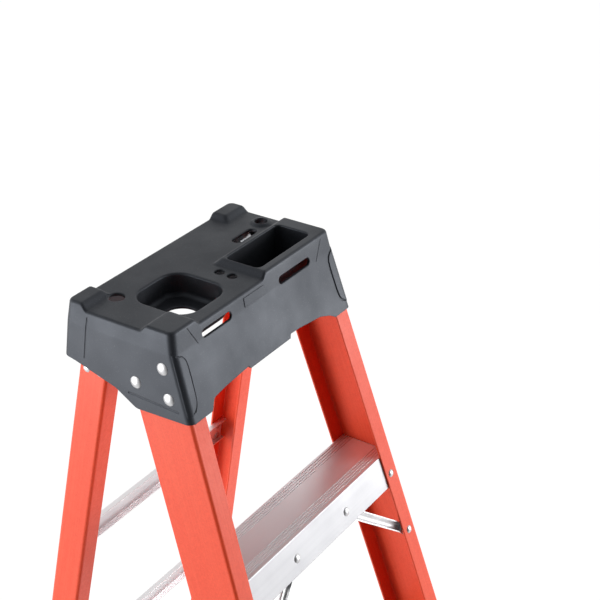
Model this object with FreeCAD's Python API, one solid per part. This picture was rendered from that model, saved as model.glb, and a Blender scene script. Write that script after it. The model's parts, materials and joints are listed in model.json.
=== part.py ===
"""Five-step fibreglass step ladder with a moulded tool-holding cap, as separate pieces.

Millimetres, +Z up, +X across the ladder, -Y towards the climber.  The origin is on the floor,
in the middle of the footprint.  The front frame stands still; the rear frame swings about two
pins under the cap, and a two-link spreader on each side holds the frames apart.
"""

import FreeCAD, Part

import math
import os

from FreeCAD import Vector

# ---- driving dimensions ---------------------------------------------------------------------
step_count = 5
step_spacing = 291.5            # tread to tread, upright
first_step_height = 249.0       # lowest tread above the floor
cap_above_top_step = 331.0      # top tread to the top of the cap's raised blocks

front_slope = math.radians(17.2)
rear_slope = math.radians(11.0)
front_splay = 0.063             # how far each front rail moves outwards per mm downwards
rear_splay = 0.0527
front_half_width = 166.8        # outer face of the front rails from the middle, at the cap's top
rear_inset = 0.9                # the rear rails' outer faces inside the front ones, at the cap's top
rail_spread = 124.6             # front rails' front to rear rails' back, at the cap's top

front_depth = 79.4              # outside depth of a rail's web, square to the rail
rear_depth = 44.3
front_flange = 28.3
rear_flange = 28.6
rail_wall = 3.2
rail_corner = 4.5
rail_fillet = 1.9               # between web and flange, inside
end_gap = 0.4                   # between a cross piece's end and the rail's fillet
front_rail_top_drop = 31.0      # rail ends below the cap's top
rear_rail_top_drop = 61.0

step_wall = 2.0
step_skirt = 48.0
groove_width = 1.7
groove_depth = 0.9
groove_pitch = 4.0
groove_count = 4

horizontal_height = 38.0        # rear cross channels
horizontal_flange = 9.5
horizontal_wall = 2.0
horizontal_spacing = 264.0
horizontal_count = 5
horizontal_drop = 48.0          # first channel's top edge below the top tread

brace_diameter = 15.0           # pressed struts under the steps
brace_wall = 1.8

rivet_shank = 3.2               # radii
rivet_head = 6.4
rivet_dome = 2.6
small_rivet_dome = 1.4          # on the small heads, which pass close inside the cap
rivet_clearance = 0.1
step_head = rivet_head * 0.9    # on the rails, where the flange is narrow
cap_rivet_head = 8.2
hinge_rivet_head = 5.4

shoe_wall = 3.0
shoe_gap = 0.3
shoe_height = 66.0
shoe_reach = 12.0               # sole past the rail on the outer side
shoe_sole = 6.0
shoe_side_reach = 5.0           # sole past the boot on the web's side
pad_thickness = 8.0
pad_inset = 1.5
pad_groove_pitch, pad_groove_width, pad_groove_depth = 9.0, 3.0, 2.0
pad_end = 8.0                   # no groove nearer to the pad's ends

cap_proud = 4.0                 # cap's outer face past the rails' outer faces
cap_wall = 3.2
cap_overhang_back = 30.0        # cap's back past the rear rails' back, at the cap's top
cap_band = 28.0                 # upright band round the top
cap_skirt = 118.0               # lowest point of the skirt below the top
cap_step_down = 8.0             # raised blocks above the tool deck
cap_deck = 4.0                  # deck's thickness
cap_corner = 9.5                # upright corners
cap_end_draft = 0.16            # how far the band leans in per mm up, at the ends
cap_front_draft = 0.17          # and at the front
cap_back_draft = 0.105          # back wall, down its whole height

pivot_drop = 36.0               # hinge pin below the cap's top
pivot_to_back = 22.6            # hinge pin ahead of the cap's back face, at the cap's top
pin_radius = 4.0
pin_running_clearance = 0.06
hinge_plate_wall = 3.0
hinge_plate_seat = 0.06         # between the plate and the web
lug_gap = 1.2                   # either side of the hinge plate

spreader_step = 3               # the spreaders meet the front rails above this tread
spreader_rise = 128.0           # pivots above that tread
spreader_front_setback = 10.5   # front pivot behind the front rail's back
spreader_rear_setback = 6.5     # rear pivot behind the rear rail's front
spreader_inset = 0.3            # brackets' inner faces in from front_half_width
spreader_wall = 3.0
spreader_width = 20.0
spreader_layer_gap = 2.6        # between the two links' planes
knee_gap = 0.4

# ---- derived sizes --------------------------------------------------------------------------
rear_half_width = front_half_width - rear_inset
spreader_plane = front_half_width - spreader_inset
cap_height = first_step_height + (step_count - 1) * step_spacing + cap_above_top_step
tan_front, tan_rear = math.tan(front_slope), math.tan(rear_slope)
front_run = front_depth / math.cos(front_slope)      # rail depths measured level
rear_run = rear_depth / math.cos(rear_slope)
front_flange_wall = rail_wall / math.cos(front_slope)
rear_flange_wall = rail_wall / math.cos(rear_slope)
cap_front_y = -(rail_spread + (tan_rear - tan_front) * cap_height) / 2
rail_foot = pad_thickness + shoe_sole
spreader_height = first_step_height + (spreader_step - 1) * step_spacing + spreader_rise


def front_y(z):
    """Front face of the front rails at height z."""
    return cap_front_y - tan_front * (cap_height - z)


def front_back_y(z):
    return front_y(z) + front_run


def rear_back_y(z):
    """Back face of the rear rails at height z."""
    return cap_front_y + rail_spread + tan_rear * (cap_height - z)


def rear_y(z):
    return rear_back_y(z) - rear_run


def front_half(z):
    return front_half_width + front_splay * (cap_height - z)


def rear_half(z):
    return rear_half_width + rear_splay * (cap_height - z)


def tread_height(number):
    return first_step_height + (number - 1) * step_spacing


top_tread = tread_height(step_count)
cap_back_y = cap_front_y + rail_spread + cap_overhang_back
pivot = Vector(0, cap_back_y - pivot_to_back, cap_height - pivot_drop)


# ---- shape helpers --------------------------------------------------------------------------
def outline(points, radii=0.0):
    """Face inside a closed outline, each corner rounded by its radius."""
    count = len(points)
    if not hasattr(radii, "__len__"):
        radii = [radii] * count
    entries, exits, middles = [], [], []
    for i, corner in enumerate(points):
        back = (points[i - 1] - corner).normalize()
        ahead = (points[(i + 1) % count] - corner).normalize()
        half = back.getAngle(ahead) / 2
        reach = radii[i] / math.tan(half) if radii[i] > 0 else 0.0
        entries.append(corner + back * reach)
        exits.append(corner + ahead * reach)
        bisector = (back + ahead).normalize() if radii[i] > 0 else Vector()
        middles.append(corner + bisector * (radii[i] / math.sin(half) - radii[i]))
    edges = []
    for i in range(count):
        if radii[i] > 0:
            edges.append(Part.Arc(entries[i], middles[i], exits[i]).toShape())
        after = entries[(i + 1) % count]
        if (after - exits[i]).Length > 1e-6:
            edges.append(Part.LineSegment(exits[i], after).toShape())
    return Part.Face(Part.Wire(edges))


def box_outline(x0, x1, y0, y1, z, radii=0.0):
    """Level rectangle from corner (x0, y0) to (x1, y1) at height z."""
    corners = [Vector(x0, y0, z), Vector(x1, y0, z), Vector(x1, y1, z), Vector(x0, y1, z)]
    return outline(corners, radii)


def loft(faces):
    """Ruled solid through level outlines, with its faces outwards."""
    solid = Part.makeLoft([face.OuterWire for face in faces], True, True)
    if solid.Volume < 0:
        solid.reverse()
    return solid


def fuse(shapes):
    first, rest = shapes[0], shapes[1:]
    return first.multiFuse(rest).removeSplitter() if rest else first


def rod(centre, axis, radius, start, end):
    """Round bar along axis from start to end, measured from centre."""
    direction = Vector(axis).normalize()
    return Part.makeCylinder(radius, end - start, centre + direction * start, direction)


def dome(centre, axis, radius, height):
    """Rounded rivet head that stands on centre and rises along axis."""
    direction = Vector(axis).normalize()
    sphere_radius = (radius * radius + height * height) / (2 * height)
    ball = Part.makeSphere(sphere_radius, centre - direction * (sphere_radius - height))
    return ball.common(rod(centre, direction, radius, 0, height + 1))


def rivet(rivet_at):
    """Shank with a domed head outside and a flat formed head inside."""
    centre, axis, grip, head = rivet_at
    shank = rod(centre, axis, rivet_shank, -grip, 0)
    formed = rod(centre, axis, rivet_shank * 1.5, -grip - small_rivet_dome, -grip)
    height = small_rivet_dome if head <= hinge_rivet_head else rivet_dome
    return fuse([shank, dome(centre, axis, head, height), formed])


def pierced(shape, rivets, extra=4.0):
    """shape with a clearance hole for each rivet that goes through it."""
    box = shape.BoundBox
    tools = []
    for centre, axis, grip, head in rivets:
        tool = rod(centre, axis, rivet_shank + rivet_clearance, -grip - extra, extra)
        if box.intersect(tool.BoundBox):
            tools.append(tool)
    return shape.cut(Part.makeCompound(tools)) if tools else shape


def group(shapes):
    return Part.makeCompound(shapes)


# ---- directions of the rails' faces ---------------------------------------------------------
front_face_normal = Vector(0, -math.cos(front_slope), math.sin(front_slope))
front_up = Vector(0, math.sin(front_slope), math.cos(front_slope))
rear_face_normal = Vector(0, math.cos(rear_slope), math.sin(rear_slope))
rear_up = Vector(0, -math.sin(rear_slope), math.cos(rear_slope))


def web_normal(side, splay):
    return Vector(side, 0, splay).normalize()


# ---- rails ----------------------------------------------------------------------------------
def rail(side, half, splay, y0, run, slope, flange, flange_wall, bottom, top):
    """Channel rail: web outside, flanges inwards, ends cut level."""
    outer = side * half(bottom)
    free = outer - side * flange
    inner = outer - side * rail_wall
    y_front, y_back = y0(bottom), y0(bottom) + run
    points = [
        Vector(outer, y_front, bottom), Vector(outer, y_back, bottom),
        Vector(free, y_back, bottom), Vector(free, y_back - flange_wall, bottom),
        Vector(inner, y_back - flange_wall, bottom), Vector(inner, y_front + flange_wall, bottom),
        Vector(free, y_front + flange_wall, bottom), Vector(free, y_front, bottom),
    ]
    lip = rail_wall * 0.35
    corners = [rail_corner, rail_corner, lip, lip, rail_fillet, rail_fillet, lip, lip]
    section = outline(points, corners)
    rise = top - bottom
    return section.extrude(Vector(-side * splay * rise, math.tan(slope) * rise, rise))


def front_rail(side):
    return rail(side, front_half, front_splay, front_y, front_run, front_slope, front_flange,
                front_flange_wall, rail_foot, cap_height - front_rail_top_drop)


def rear_rail(side):
    return rail(side, rear_half, rear_splay, rear_y, rear_run, -rear_slope, rear_flange,
                rear_flange_wall, rail_foot, cap_height - rear_rail_top_drop)


# ---- steps and their struts -----------------------------------------------------------------
def between_webs(z_low, z_high, half, gap, y0, y1):
    """Block that fills the space between the two webs, less a gap at each end."""
    low, high = half(z_low) - rail_wall - gap, half(z_high) - rail_wall - gap
    points = [Vector(-low, y0, z_low), Vector(low, y0, z_low),
              Vector(high, y0, z_high), Vector(-high, y0, z_high)]
    return outline(points).extrude(Vector(0, y1 - y0, 0))


def step(number):
    """Extruded tread with grooves along both edges and a skirt inside each flange."""
    z = tread_height(number)
    low = z - step_skirt
    y_front, y_back = front_y(z) + front_flange_wall, front_back_y(z) - front_flange_wall
    fall = tan_front * step_skirt
    wall = step_wall / math.cos(front_slope)
    lean = tan_front * step_wall
    reach = -(front_half(low) + 5)
    points = [
        Vector(reach, y_front, z), Vector(reach, y_back, z),
        Vector(reach, y_back - fall, low), Vector(reach, y_back - fall - wall, low),
        Vector(reach, y_back - wall - lean, z - step_wall),
        Vector(reach, y_front + wall - lean, z - step_wall),
        Vector(reach, y_front - fall + wall, low), Vector(reach, y_front - fall, low),
    ]
    bend, inside, edge = step_wall * 0.8, step_wall * 0.6, step_wall * 0.35
    radii = [bend, bend, edge, edge, inside, inside, edge, edge]
    bar = outline(points, radii).extrude(Vector(-2 * reach, 0, 0))
    gap = rail_fillet + end_gap
    bar = bar.common(between_webs(low - 1, z + 1, front_half, gap, y_front - 100, y_back + 10))
    grooves = []
    for i in range(groove_count):
        for y in (y_front + 5 + i * groove_pitch, y_back - 5 - i * groove_pitch - groove_width):
            grooves.append(Part.makeBox(-2 * reach, groove_width, groove_depth * 2,
                                        Vector(reach, y, z - groove_depth)))
    bar = bar.cut(Part.makeCompound(grooves))
    return pierced(bar, step_rivets(number) + brace_rivets(number))


step_rivet_drop = 29.0
brace_top_x, brace_top_drop = 60.0, 27.0
brace_foot_drop = 121.0


def step_rivets(number):
    """Two rivets at each end, through the front and the back flange."""
    z = tread_height(number) - step_rivet_drop
    found = []
    grip = rail_wall + step_wall
    for side in (-1, 1):
        x = side * (front_half(z) - front_flange * 0.6)
        found.append((Vector(x, front_y(z), z), front_face_normal, grip, step_head))
        found.append((Vector(x, front_back_y(z), z), -front_face_normal, grip, step_head))
    return found


def brace_top_rivet(number, side):
    z = tread_height(number) - brace_top_drop
    y = front_y(z) + front_flange_wall
    return (Vector(side * brace_top_x, y, z), front_face_normal, step_wall + brace_wall, rivet_head)


def brace_foot_rivet(number, side):
    z = tread_height(number) - brace_foot_drop
    x = side * (front_half(z) - front_flange * 0.55)
    grip = rail_wall + step_wall + brace_wall
    return (Vector(x, front_y(z), z), front_face_normal, grip, step_head)


def brace_rivets(number):
    return [rivet_at(number, side) for side in (-1, 1) for rivet_at in (brace_top_rivet, brace_foot_rivet)]


def step_brace(number, side):
    """Half-round pressed strut from the step's front skirt down to the rail's front flange."""
    top_at, foot_at = brace_top_rivet(number, side), brace_foot_rivet(number, side)
    inward = -front_face_normal
    top = top_at[0] + inward * step_wall
    foot = foot_at[0] + inward * (rail_wall + step_wall)
    tab, neck = brace_diameter * 0.62, brace_diameter * 0.9
    along = foot - top
    along = (along - inward * along.dot(inward)).normalize()
    across = along.cross(inward).normalize()
    pieces = []
    for centre, sign in ((top, 1), (foot, -1)):
        far = centre + along * sign * neck
        flat = outline([centre + across * tab, centre - across * tab,
                        far - across * tab * 0.8, far + across * tab * 0.8])
        pieces += [rod(centre, inward, tab, 0, brace_wall), flat.extrude(inward * brace_wall)]
    start, end = top + along * neck * 0.8, foot - along * neck * 0.8
    direction, length = (end - start).normalize(), (end - start).Length
    size = brace_diameter
    trough = outline([start + across * size, start - across * size,
                      end - across * size, end + across * size]).extrude(inward * size)
    radius = brace_diameter / 2
    shell = rod(start, direction, radius, 0, length).cut(
        rod(start, direction, radius - brace_wall, -1, length + 1))
    cheeks = [rod(start, direction, radius - 0.5, at, at + brace_wall)
              for at in (0, length - brace_wall)]
    pieces += [piece.common(trough) for piece in [shell] + cheeks]
    pieces.append(rod(foot, inward, tab, -step_wall, 0))
    return pierced(fuse(pieces), [top_at, foot_at])


# ---- rear cross channels --------------------------------------------------------------------
def horizontal_top(number):
    """Top edge of a rear channel; number 1 is the lowest."""
    return top_tread - horizontal_drop - (horizontal_count - number) * horizontal_spacing


def horizontal_rivets(number):
    found = []
    z = horizontal_top(number) - horizontal_height / 2
    for side in (-1, 1):
        for rise in (-0.25, 0.25):
            at = z + rise * horizontal_height
            x = side * (rear_half(at) - rear_flange * 0.55)
            grip = rail_wall + horizontal_wall
            found.append((Vector(x, rear_back_y(at), at), rear_face_normal, grip, hinge_rivet_head))
    return found


def rear_horizontal(number):
    """Channel across the rear rails, web against their back flanges, open forwards."""
    z = horizontal_top(number)
    low = z - horizontal_height
    y_top = rear_back_y(z) - rear_flange_wall
    y_low = rear_back_y(low) - rear_flange_wall
    wall = horizontal_wall / math.cos(rear_slope)
    lean = tan_rear * horizontal_wall
    reach = -(rear_half(low) + 5)
    points = [
        Vector(reach, y_top, z), Vector(reach, y_low, low),
        Vector(reach, y_low - horizontal_flange, low),
        Vector(reach, y_low - horizontal_flange - lean, low + horizontal_wall),
        Vector(reach, y_low - wall - lean, low + horizontal_wall),
        Vector(reach, y_top - wall + lean, z - horizontal_wall),
        Vector(reach, y_top - horizontal_flange + lean, z - horizontal_wall),
        Vector(reach, y_top - horizontal_flange, z),
    ]
    bend = horizontal_wall * 0.9
    bar = outline(points, [bend, bend, 0.5, 0.5, 0.8, 0.8, 0.5, 0.5]).extrude(Vector(-2 * reach, 0, 0))
    gap = rail_fillet + end_gap
    bar = bar.common(between_webs(low - 1, z + 1, rear_half, gap, y_top - 60, y_low + 10))
    rivets = horizontal_rivets(number) + (gusset_rivets() if number == 1 else [])
    return pierced(bar, rivets)


gusset_drop = 120.0             # gusset foot below the lowest channel's middle
gusset_run = 95.0
gusset_width = 22.0
gusset_wall = 2.5


def gusset_top_rivet(side):
    z = horizontal_top(1) - horizontal_height / 2
    x = side * (rear_half(z) - rear_flange - gusset_run)
    face = Vector(x, rear_back_y(z), z) + rear_face_normal * gusset_wall
    return (face, rear_face_normal, gusset_wall + rail_wall + horizontal_wall, hinge_rivet_head)


def gusset_foot_rivet(side):
    z = horizontal_top(1) - horizontal_height / 2 - gusset_drop
    x = side * (rear_half(z) - rear_flange * 0.55)
    face = Vector(x, rear_back_y(z), z) + rear_face_normal * gusset_wall
    return (face, rear_face_normal, gusset_wall + rail_wall, hinge_rivet_head)


def gusset_rivets():
    return [rivet_at(side) for side in (-1, 1) for rivet_at in (gusset_top_rivet, gusset_foot_rivet)]


def rear_gusset(side):
    """Flat diagonal bar on the back, from the lowest channel down to the rear rail."""
    top_at, foot_at = gusset_top_rivet(side), gusset_foot_rivet(side)
    forward = -rear_face_normal
    top, foot = top_at[0], foot_at[0]
    across = (foot - top).normalize().cross(forward).normalize() * (gusset_width / 2)
    bar = outline([top + across, top - across, foot - across, foot + across])
    bar = bar.extrude(forward * gusset_wall)
    ends = [rod(end, forward, gusset_width / 2, 0, gusset_wall) for end in (top, foot)]
    spacer = rod(top, forward, gusset_width * 0.4, gusset_wall, gusset_wall + rail_wall)
    return pierced(fuse([bar, spacer] + ends), [top_at, foot_at])


# ---- hinge at the top of the rear frame -----------------------------------------------------
hinge_rivet_drop = 90.0
hinge_plate_foot = 16.0         # plate below the rivets' middle
hinge_plate_margin = 2.2        # plate's edge from the flanges' inner faces
hinge_eye = 13.0                # half the width round the pin


def hinge_rivets(side):
    z = cap_height - hinge_rivet_drop
    found = []
    for share in (0.27, 0.73):
        centre = Vector(side * rear_half(z), rear_y(z) + share * rear_run, z)
        grip = rail_wall + hinge_plate_seat + hinge_plate_wall
        found.append((centre, web_normal(side, rear_splay), grip, hinge_rivet_head))
    return found


def hinge_plate(side):
    """Steel plate inside the rear rail's web that carries the rear frame on the cap's pin."""
    z_low, z_shoulder = cap_height - hinge_rivet_drop - hinge_plate_foot, cap_height - rear_rail_top_drop + 1
    margin = rail_wall + hinge_plate_margin
    eye = hinge_eye
    normal = web_normal(side, rear_splay)
    x_low = side * (rear_half(z_low) - rail_wall - hinge_plate_seat)

    def at(y, z):
        """Point on the web's inner face."""
        return Vector(x_low - side * rear_splay * (z - z_low), y, z)

    z_eye = pivot.z
    points = [
        at(rear_y(z_low) + margin, z_low), at(rear_back_y(z_low) - margin, z_low),
        at(rear_back_y(z_shoulder) - margin, z_shoulder), at(pivot.y + eye, z_eye),
        at(pivot.y + eye * 0.55, z_eye + eye), at(pivot.y - eye * 0.55, z_eye + eye),
        at(pivot.y - eye, z_eye), at(rear_y(z_shoulder) + margin, z_shoulder),
    ]
    plate = outline(points, [3, 3, 4, 6, 5, 5, 6, 4]).extrude(-normal * hinge_plate_wall)
    hole = rod(pivot, Vector(1, 0, 0), pin_radius + pin_running_clearance, -400, 400)
    return pierced(plate.cut(hole), hinge_rivets(side))


def plate_inner_x():
    """Hinge plate's inner face from the middle, at the pin."""
    return rear_half(pivot.z) - rail_wall - hinge_plate_wall


lug_thickness = 9.0
lug_radius = 12.0
pin_head_radius = 7.0
pin_head_height = 4.0


def hinge_pin(side):
    """Headed pin from the inside of the lug, through the plate, into the cap's boss."""
    x_head = plate_inner_x() - lug_gap - lug_thickness
    x_tip = cap_inner_x(pivot.z) - 0.6
    along = Vector(side, 0, 0)
    shank = rod(pivot, along, pin_radius, x_head, x_tip)
    head = rod(pivot, along, pin_head_radius, x_head - pin_head_height, x_head)
    head = head.makeFillet(1.2, [edge for edge in head.Edges
                                 if abs(abs(edge.CenterOfMass.x) - (x_head - pin_head_height)) < 0.01
                                 and edge.Length > pin_head_radius * 3])
    return fuse([shank, head])


# ---- cap ------------------------------------------------------------------------------------
def cap_inner_x(z):
    """Inner face of the cap's end walls from the middle."""
    return front_half(z) + cap_proud - cap_wall


def cap_section(drop, inset, corner):
    """Level outline of the cap at a drop below its top, inset from the outer faces."""
    z = cap_height - drop
    above = cap_band - min(drop, cap_band)
    x = front_half(cap_height - max(drop, cap_band)) + cap_proud - above * cap_end_draft - inset
    y_band = front_y(cap_height - cap_band) - cap_proud / math.cos(front_slope)
    if drop >= cap_band:
        y_front = front_y(z) - cap_proud / math.cos(front_slope)
    else:
        y_front = y_band + above * cap_front_draft
    y_back = cap_back_y + drop * cap_back_draft
    return box_outline(-x, x, y_front + inset, y_back - inset, z, corner)


def cap_block():
    """Cap's outer form: an upright band on a flared skirt, with its top edge rounded."""
    soften = [(0.0, 3.6), (0.5, 1.7), (1.7, 0.5), (3.6, 0.0)]
    sections = [cap_section(drop, pull, cap_corner - pull) for drop, pull in soften]
    return loft(sections + [cap_section(drop, 0, cap_corner) for drop in (cap_band, cap_skirt + 10)])


def cap_hollow():
    """Space under the deck, square enough in its corners to clear the front rails."""
    corner = rail_corner + cap_proud - cap_wall
    drops = (cap_step_down + cap_deck, cap_band, cap_skirt + 30)
    return loft([cap_section(drop, cap_wall, corner) for drop in drops])


# plan positions on the cap: x from the middle, y back from the front rails' front at the cap's top
def plan_y(back):
    return cap_front_y + back


open_above = 5.0                # cuts start this far above the cap
well_shift = 0.75               # well's middle left of halfway between a front flange and the middle
well_x = -(front_half_width - front_flange) / 2 - well_shift
well_y, well_size, well_depth, well_corner = 57.5, 90.0, 40.0, 26.0
well_hole_radius = 23.0
bin_x0, bin_x1 = 25.0, front_half_width - 23.8
bin_y0, bin_y1, bin_depth, bin_corner = 4.5, 58.0, 50.0, 8.0
driver_holes = [(2.0, 29.0), (2.0, 49.0)]
driver_radius = 7.0
handle_hole = (-(front_half_width - 45.8), 116.0)
handle_radius = 10.5
pliers_x, pliers_y, pliers_length, pliers_width = front_half_width - 62.8, 84.0, 46.0, 14.0
collar_x, collar_y = front_half_width - 18.8, 88.0
collar_radius, collar_bore, collar_rise = 14.0, 9.0, 3.0
slot_height = 10.5
slot_drop = 23.5
slots = [(-116.0, -57.0), (46.0, 116.0)]
block_x = 14.0                  # right-hand raised block starts here
block_back = 70.0
corner_pad_x = front_half_width - 50.8      # front left pad ends here
corner_pad_back = 40.0
housing_x = front_half_width - 47.8         # hinge housings reach in to here
housing_front = 124.0


def deck_cut():
    """Space above the tool deck: everything between the raised blocks, with sloping sides."""
    far = front_half(cap_height) + 60
    levels = []
    for drop, spread in ((cap_step_down, 0.0), (-1.0, 9.0)):
        z = cap_height - drop
        front, back = plan_y(-60), plan_y(rail_spread + cap_overhang_back + 60)
        left, right = -corner_pad_x - spread, block_x + spread
        pad, block = plan_y(corner_pad_back - spread), plan_y(block_back - spread)
        house, side = plan_y(housing_front + spread), housing_x + spread
        corners = [
            (left, front), (right, front), (right, block), (far, block), (far, house),
            (side, house), (side, back), (-side, back), (-side, house), (-far, house),
            (-far, pad), (left, pad),
        ]
        radii = [0, 0, 6, 0, 0, 5, 0, 0, 5, 0, 0, 6]
        levels.append(outline([Vector(x, y, z) for x, y in corners], radii))
    return loft(levels)


def pocket(x0, x1, y0, y1, top_drop, floor_drop, corner):
    """Straight-sided hollow with rounded corners from above the top down to its floor."""
    face = box_outline(x0, x1, plan_y(y0), plan_y(y1), cap_height - floor_drop, corner)
    return face.extrude(Vector(0, 0, floor_drop - top_drop))


def bore(x, y, radius, top_drop=-open_above, floor_drop=well_depth + 50.0):
    return rod(Vector(x, plan_y(y), cap_height), Vector(0, 0, -1), radius, top_drop, floor_drop)


def hand_slot(x0, x1):
    """Round-ended opening through the front wall."""
    r = slot_height / 2
    z = cap_height - slot_drop
    y = plan_y(-60)
    points = [Vector(x0, y, z - r), Vector(x1, y, z - r), Vector(x1, y, z + r), Vector(x0, y, z + r)]
    return outline(points, r * 0.98).extrude(Vector(0, 68, 0))


def skirt_trim():
    """Everything below the cap's wavy lower edge."""
    far = 400
    low = cap_height - cap_skirt - 40
    side_drops = [(-35, 112), (46, 115), (78, 97), (142, 80), (164, 76), (170, 68), (230, 68)]
    points = [Vector(-far, plan_y(back), cap_height - drop) for back, drop in side_drops]
    points += [Vector(-far, plan_y(230), low), Vector(-far, plan_y(-35), low)]
    radii = [0, 14, 20, 14, 6, 6, 0, 0, 0]
    side_cut = outline(points, radii).extrude(Vector(2 * far, 0, 0))
    half = front_half_width
    front_drops = [(-far, 114), (29.8 - half, 114), (39.8 - half, 99), (64.8 - half, 96), (-52, 93),
                   (-50, 97), (38, 97), (41, 92), (62, 93), (half - 58.8, 98), (half - 38.8, 105),
                   (half - 23.8, 114), (far, 114)]
    y = plan_y(-80)
    points = [Vector(x, y, cap_height - drop) for x, drop in front_drops]
    points += [Vector(far, y, low), Vector(-far, y, low)]
    radii = [0, 7, 7, 6, 1, 1, 1, 1, 6, 8, 8, 7, 0, 0, 0]
    front_cut = outline(points, radii).extrude(Vector(0, 95, 0))
    return side_cut, front_cut


corner_panel_drops = (27.0, 106.0)
corner_panel_rise = 1.6
corner_panel_edge, corner_panel_waist = 13.5, 11.3      # in from front_half_width


def corner_panel(side):
    """Raised rounded panel on the front wall over each rail."""
    z_top, z_low = cap_height - corner_panel_drops[0], cap_height - corner_panel_drops[1]
    out = cap_proud + corner_panel_rise
    edge, waist = front_half_width - corner_panel_edge, front_half_width - corner_panel_waist

    def at(x, z):
        return Vector(side * x, front_y(z) - out / math.cos(front_slope), z)

    far = front_half(z_low) - 8
    points = [at(waist, z_top), at(far - 6, z_top), at(far, z_low), at(waist + 4, z_low),
              at(edge + 6, z_low + 16), at(edge, z_top - 14)]
    return outline(points, [1.5, 1, 1, 2, 4, 4]).extrude(Vector(0, 4, 0))


def hinge_lugs(side):
    """Boss on the end wall and lug under the deck that hold the hinge pin."""
    along = Vector(side, 0, 0)
    plate_outer = rear_half(pivot.z) - rail_wall
    z_top = cap_height - cap_step_down - cap_deck / 2
    pieces = []
    inner = plate_inner_x() - lug_gap
    for x0, x1 in ((inner - lug_thickness, inner), (plate_outer + lug_gap, cap_inner_x(pivot.z) + 1.5)):
        pieces.append(rod(pivot, along, lug_radius, x0, x1))
        near = pivot + along * x0
        block = [Vector(near.x, near.y - lug_radius, near.z), Vector(near.x, near.y + lug_radius, near.z),
                 Vector(near.x, near.y + lug_radius, z_top), Vector(near.x, near.y - lug_radius, z_top)]
        pieces.append(outline(block).extrude(along * (x1 - x0)))
    bore_start = inner - lug_thickness - 1
    hole = rod(pivot, along, pin_radius + 0.02, bore_start, cap_inner_x(pivot.z) - 0.5)
    return pieces, hole


cap_rivet_places = [(46.0, 79.0), (4.6, 48.0), (-4.5, 86.5)]


def cap_rivets(side):
    """Three large flat-domed rivets through the cap's end wall and the front rail's web."""
    found = []
    for back, drop in cap_rivet_places:
        z = cap_height - drop
        centre = Vector(side * (front_half(z) + cap_proud), plan_y(back), z)
        found.append((centre, web_normal(side, front_splay), cap_proud + rail_wall, cap_rivet_head))
    return found


rib_places = (-18.0, 12.0)
rib_wall = 2.4
rib_depth = 40.0


def rib(x):
    """Thin stiffening web under the deck, from the front wall to the back wall."""
    y0, y1 = plan_y(-30), plan_y(rail_spread + cap_overhang_back + 10)
    return Part.makeBox(rib_wall, y1 - y0, rib_depth - cap_step_down,
                        Vector(x, y0, cap_height - rib_depth))


def bin_pocket(grow, top_drop):
    return pocket(bin_x0 - grow, bin_x1 + grow, bin_y0 - grow, bin_y1 + grow, top_drop,
                  bin_depth + grow, bin_corner + grow)


def well_pocket(grow, top_drop):
    half = well_size / 2 + grow
    return pocket(well_x - half, well_x + half, well_y - half, well_y + half, top_drop,
                  well_depth + grow, well_corner + grow)


def pliers_slot():
    half = pliers_length / 2
    return pocket(pliers_x - half, pliers_x + half, pliers_y - pliers_width / 2,
                  pliers_y + pliers_width / 2, -open_above, well_depth, pliers_width * 0.49)


def tool_holes():
    """Everything that opens into the deck or the front wall."""
    cuts = [bin_pocket(0.0, -open_above), well_pocket(0.0, -open_above), pliers_slot()]
    cuts.append(bore(well_x, well_y, well_hole_radius))
    cuts += [bore(x, y, driver_radius) for x, y in driver_holes]
    cuts.append(bore(handle_hole[0], handle_hole[1], handle_radius))
    cuts.append(bore(collar_x, collar_y, collar_bore))
    return cuts + [hand_slot(x0, x1) for x0, x1 in slots]


def top_cap():
    """Moulded cap: open underneath, with a bin, a drill well, tool holes and hand slots."""
    hollow = cap_hollow()
    collar = bore(collar_x, collar_y, collar_radius, cap_step_down - collar_rise,
                  cap_step_down + cap_deck)
    under_deck = cap_step_down + 1
    walls = [bin_pocket(cap_wall, under_deck), well_pocket(cap_wall, under_deck), collar]
    walls += [rib(x).common(hollow) for x in rib_places]
    pin_holes = []
    for side in (-1, 1):
        lugs, pin_hole = hinge_lugs(side)
        walls += lugs
        walls.append(corner_panel(side))
        pin_holes.append(pin_hole)
    body = cap_block().cut(hollow).multiFuse(walls)
    body = body.cut(deck_cut().cut(collar)).cut(Part.makeCompound(pin_holes + tool_holes()))
    for trim in skirt_trim():
        body = body.cut(trim)
    return pierced(body, cap_rivets(-1) + cap_rivets(1)).removeSplitter()


# ---- shoes ----------------------------------------------------------------------------------
def shoe(side, half, splay, y0, run, slope, flange):
    """Moulded boot round a rail's foot, with a wide level sole."""
    x_out, x_in = half(rail_foot) + shoe_gap, half(rail_foot) - flange - shoe_gap
    y_front, y_back = y0(rail_foot) - shoe_gap, y0(rail_foot) + run + shoe_gap
    low, wall = rail_foot, shoe_wall

    def ring(grow, z0, height):
        xs = sorted((side * (x_out + grow), side * (x_in - grow)))
        web_corner, free_corner = grow + rail_corner, grow + 0.8
        corners = [free_corner, web_corner, web_corner, free_corner]
        corners = corners if side > 0 else [web_corner, free_corner, free_corner, web_corner]
        face = box_outline(xs[0], xs[1], y_front - grow, y_back + grow, z0, corners)
        lean = Vector(-side * splay * height, math.tan(slope) * height, height)
        return face.extrude(lean)

    sleeve = ring(wall, low, shoe_height).cut(ring(0.0, low, shoe_height + 1))
    xs = sorted((side * (x_out + wall + shoe_side_reach), side * (x_in - wall)))
    ys = sorted((y_front - wall, y_back + wall))
    if slope > 0:
        ys[0] = y0(0) - shoe_reach
    else:
        ys[1] = y0(0) + run + shoe_reach
    sole = box_outline(xs[0], xs[1], ys[0], ys[1], pad_thickness, 7.0)
    return fuse([sleeve, sole.extrude(Vector(0, 0, shoe_sole))]), xs, ys


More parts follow.
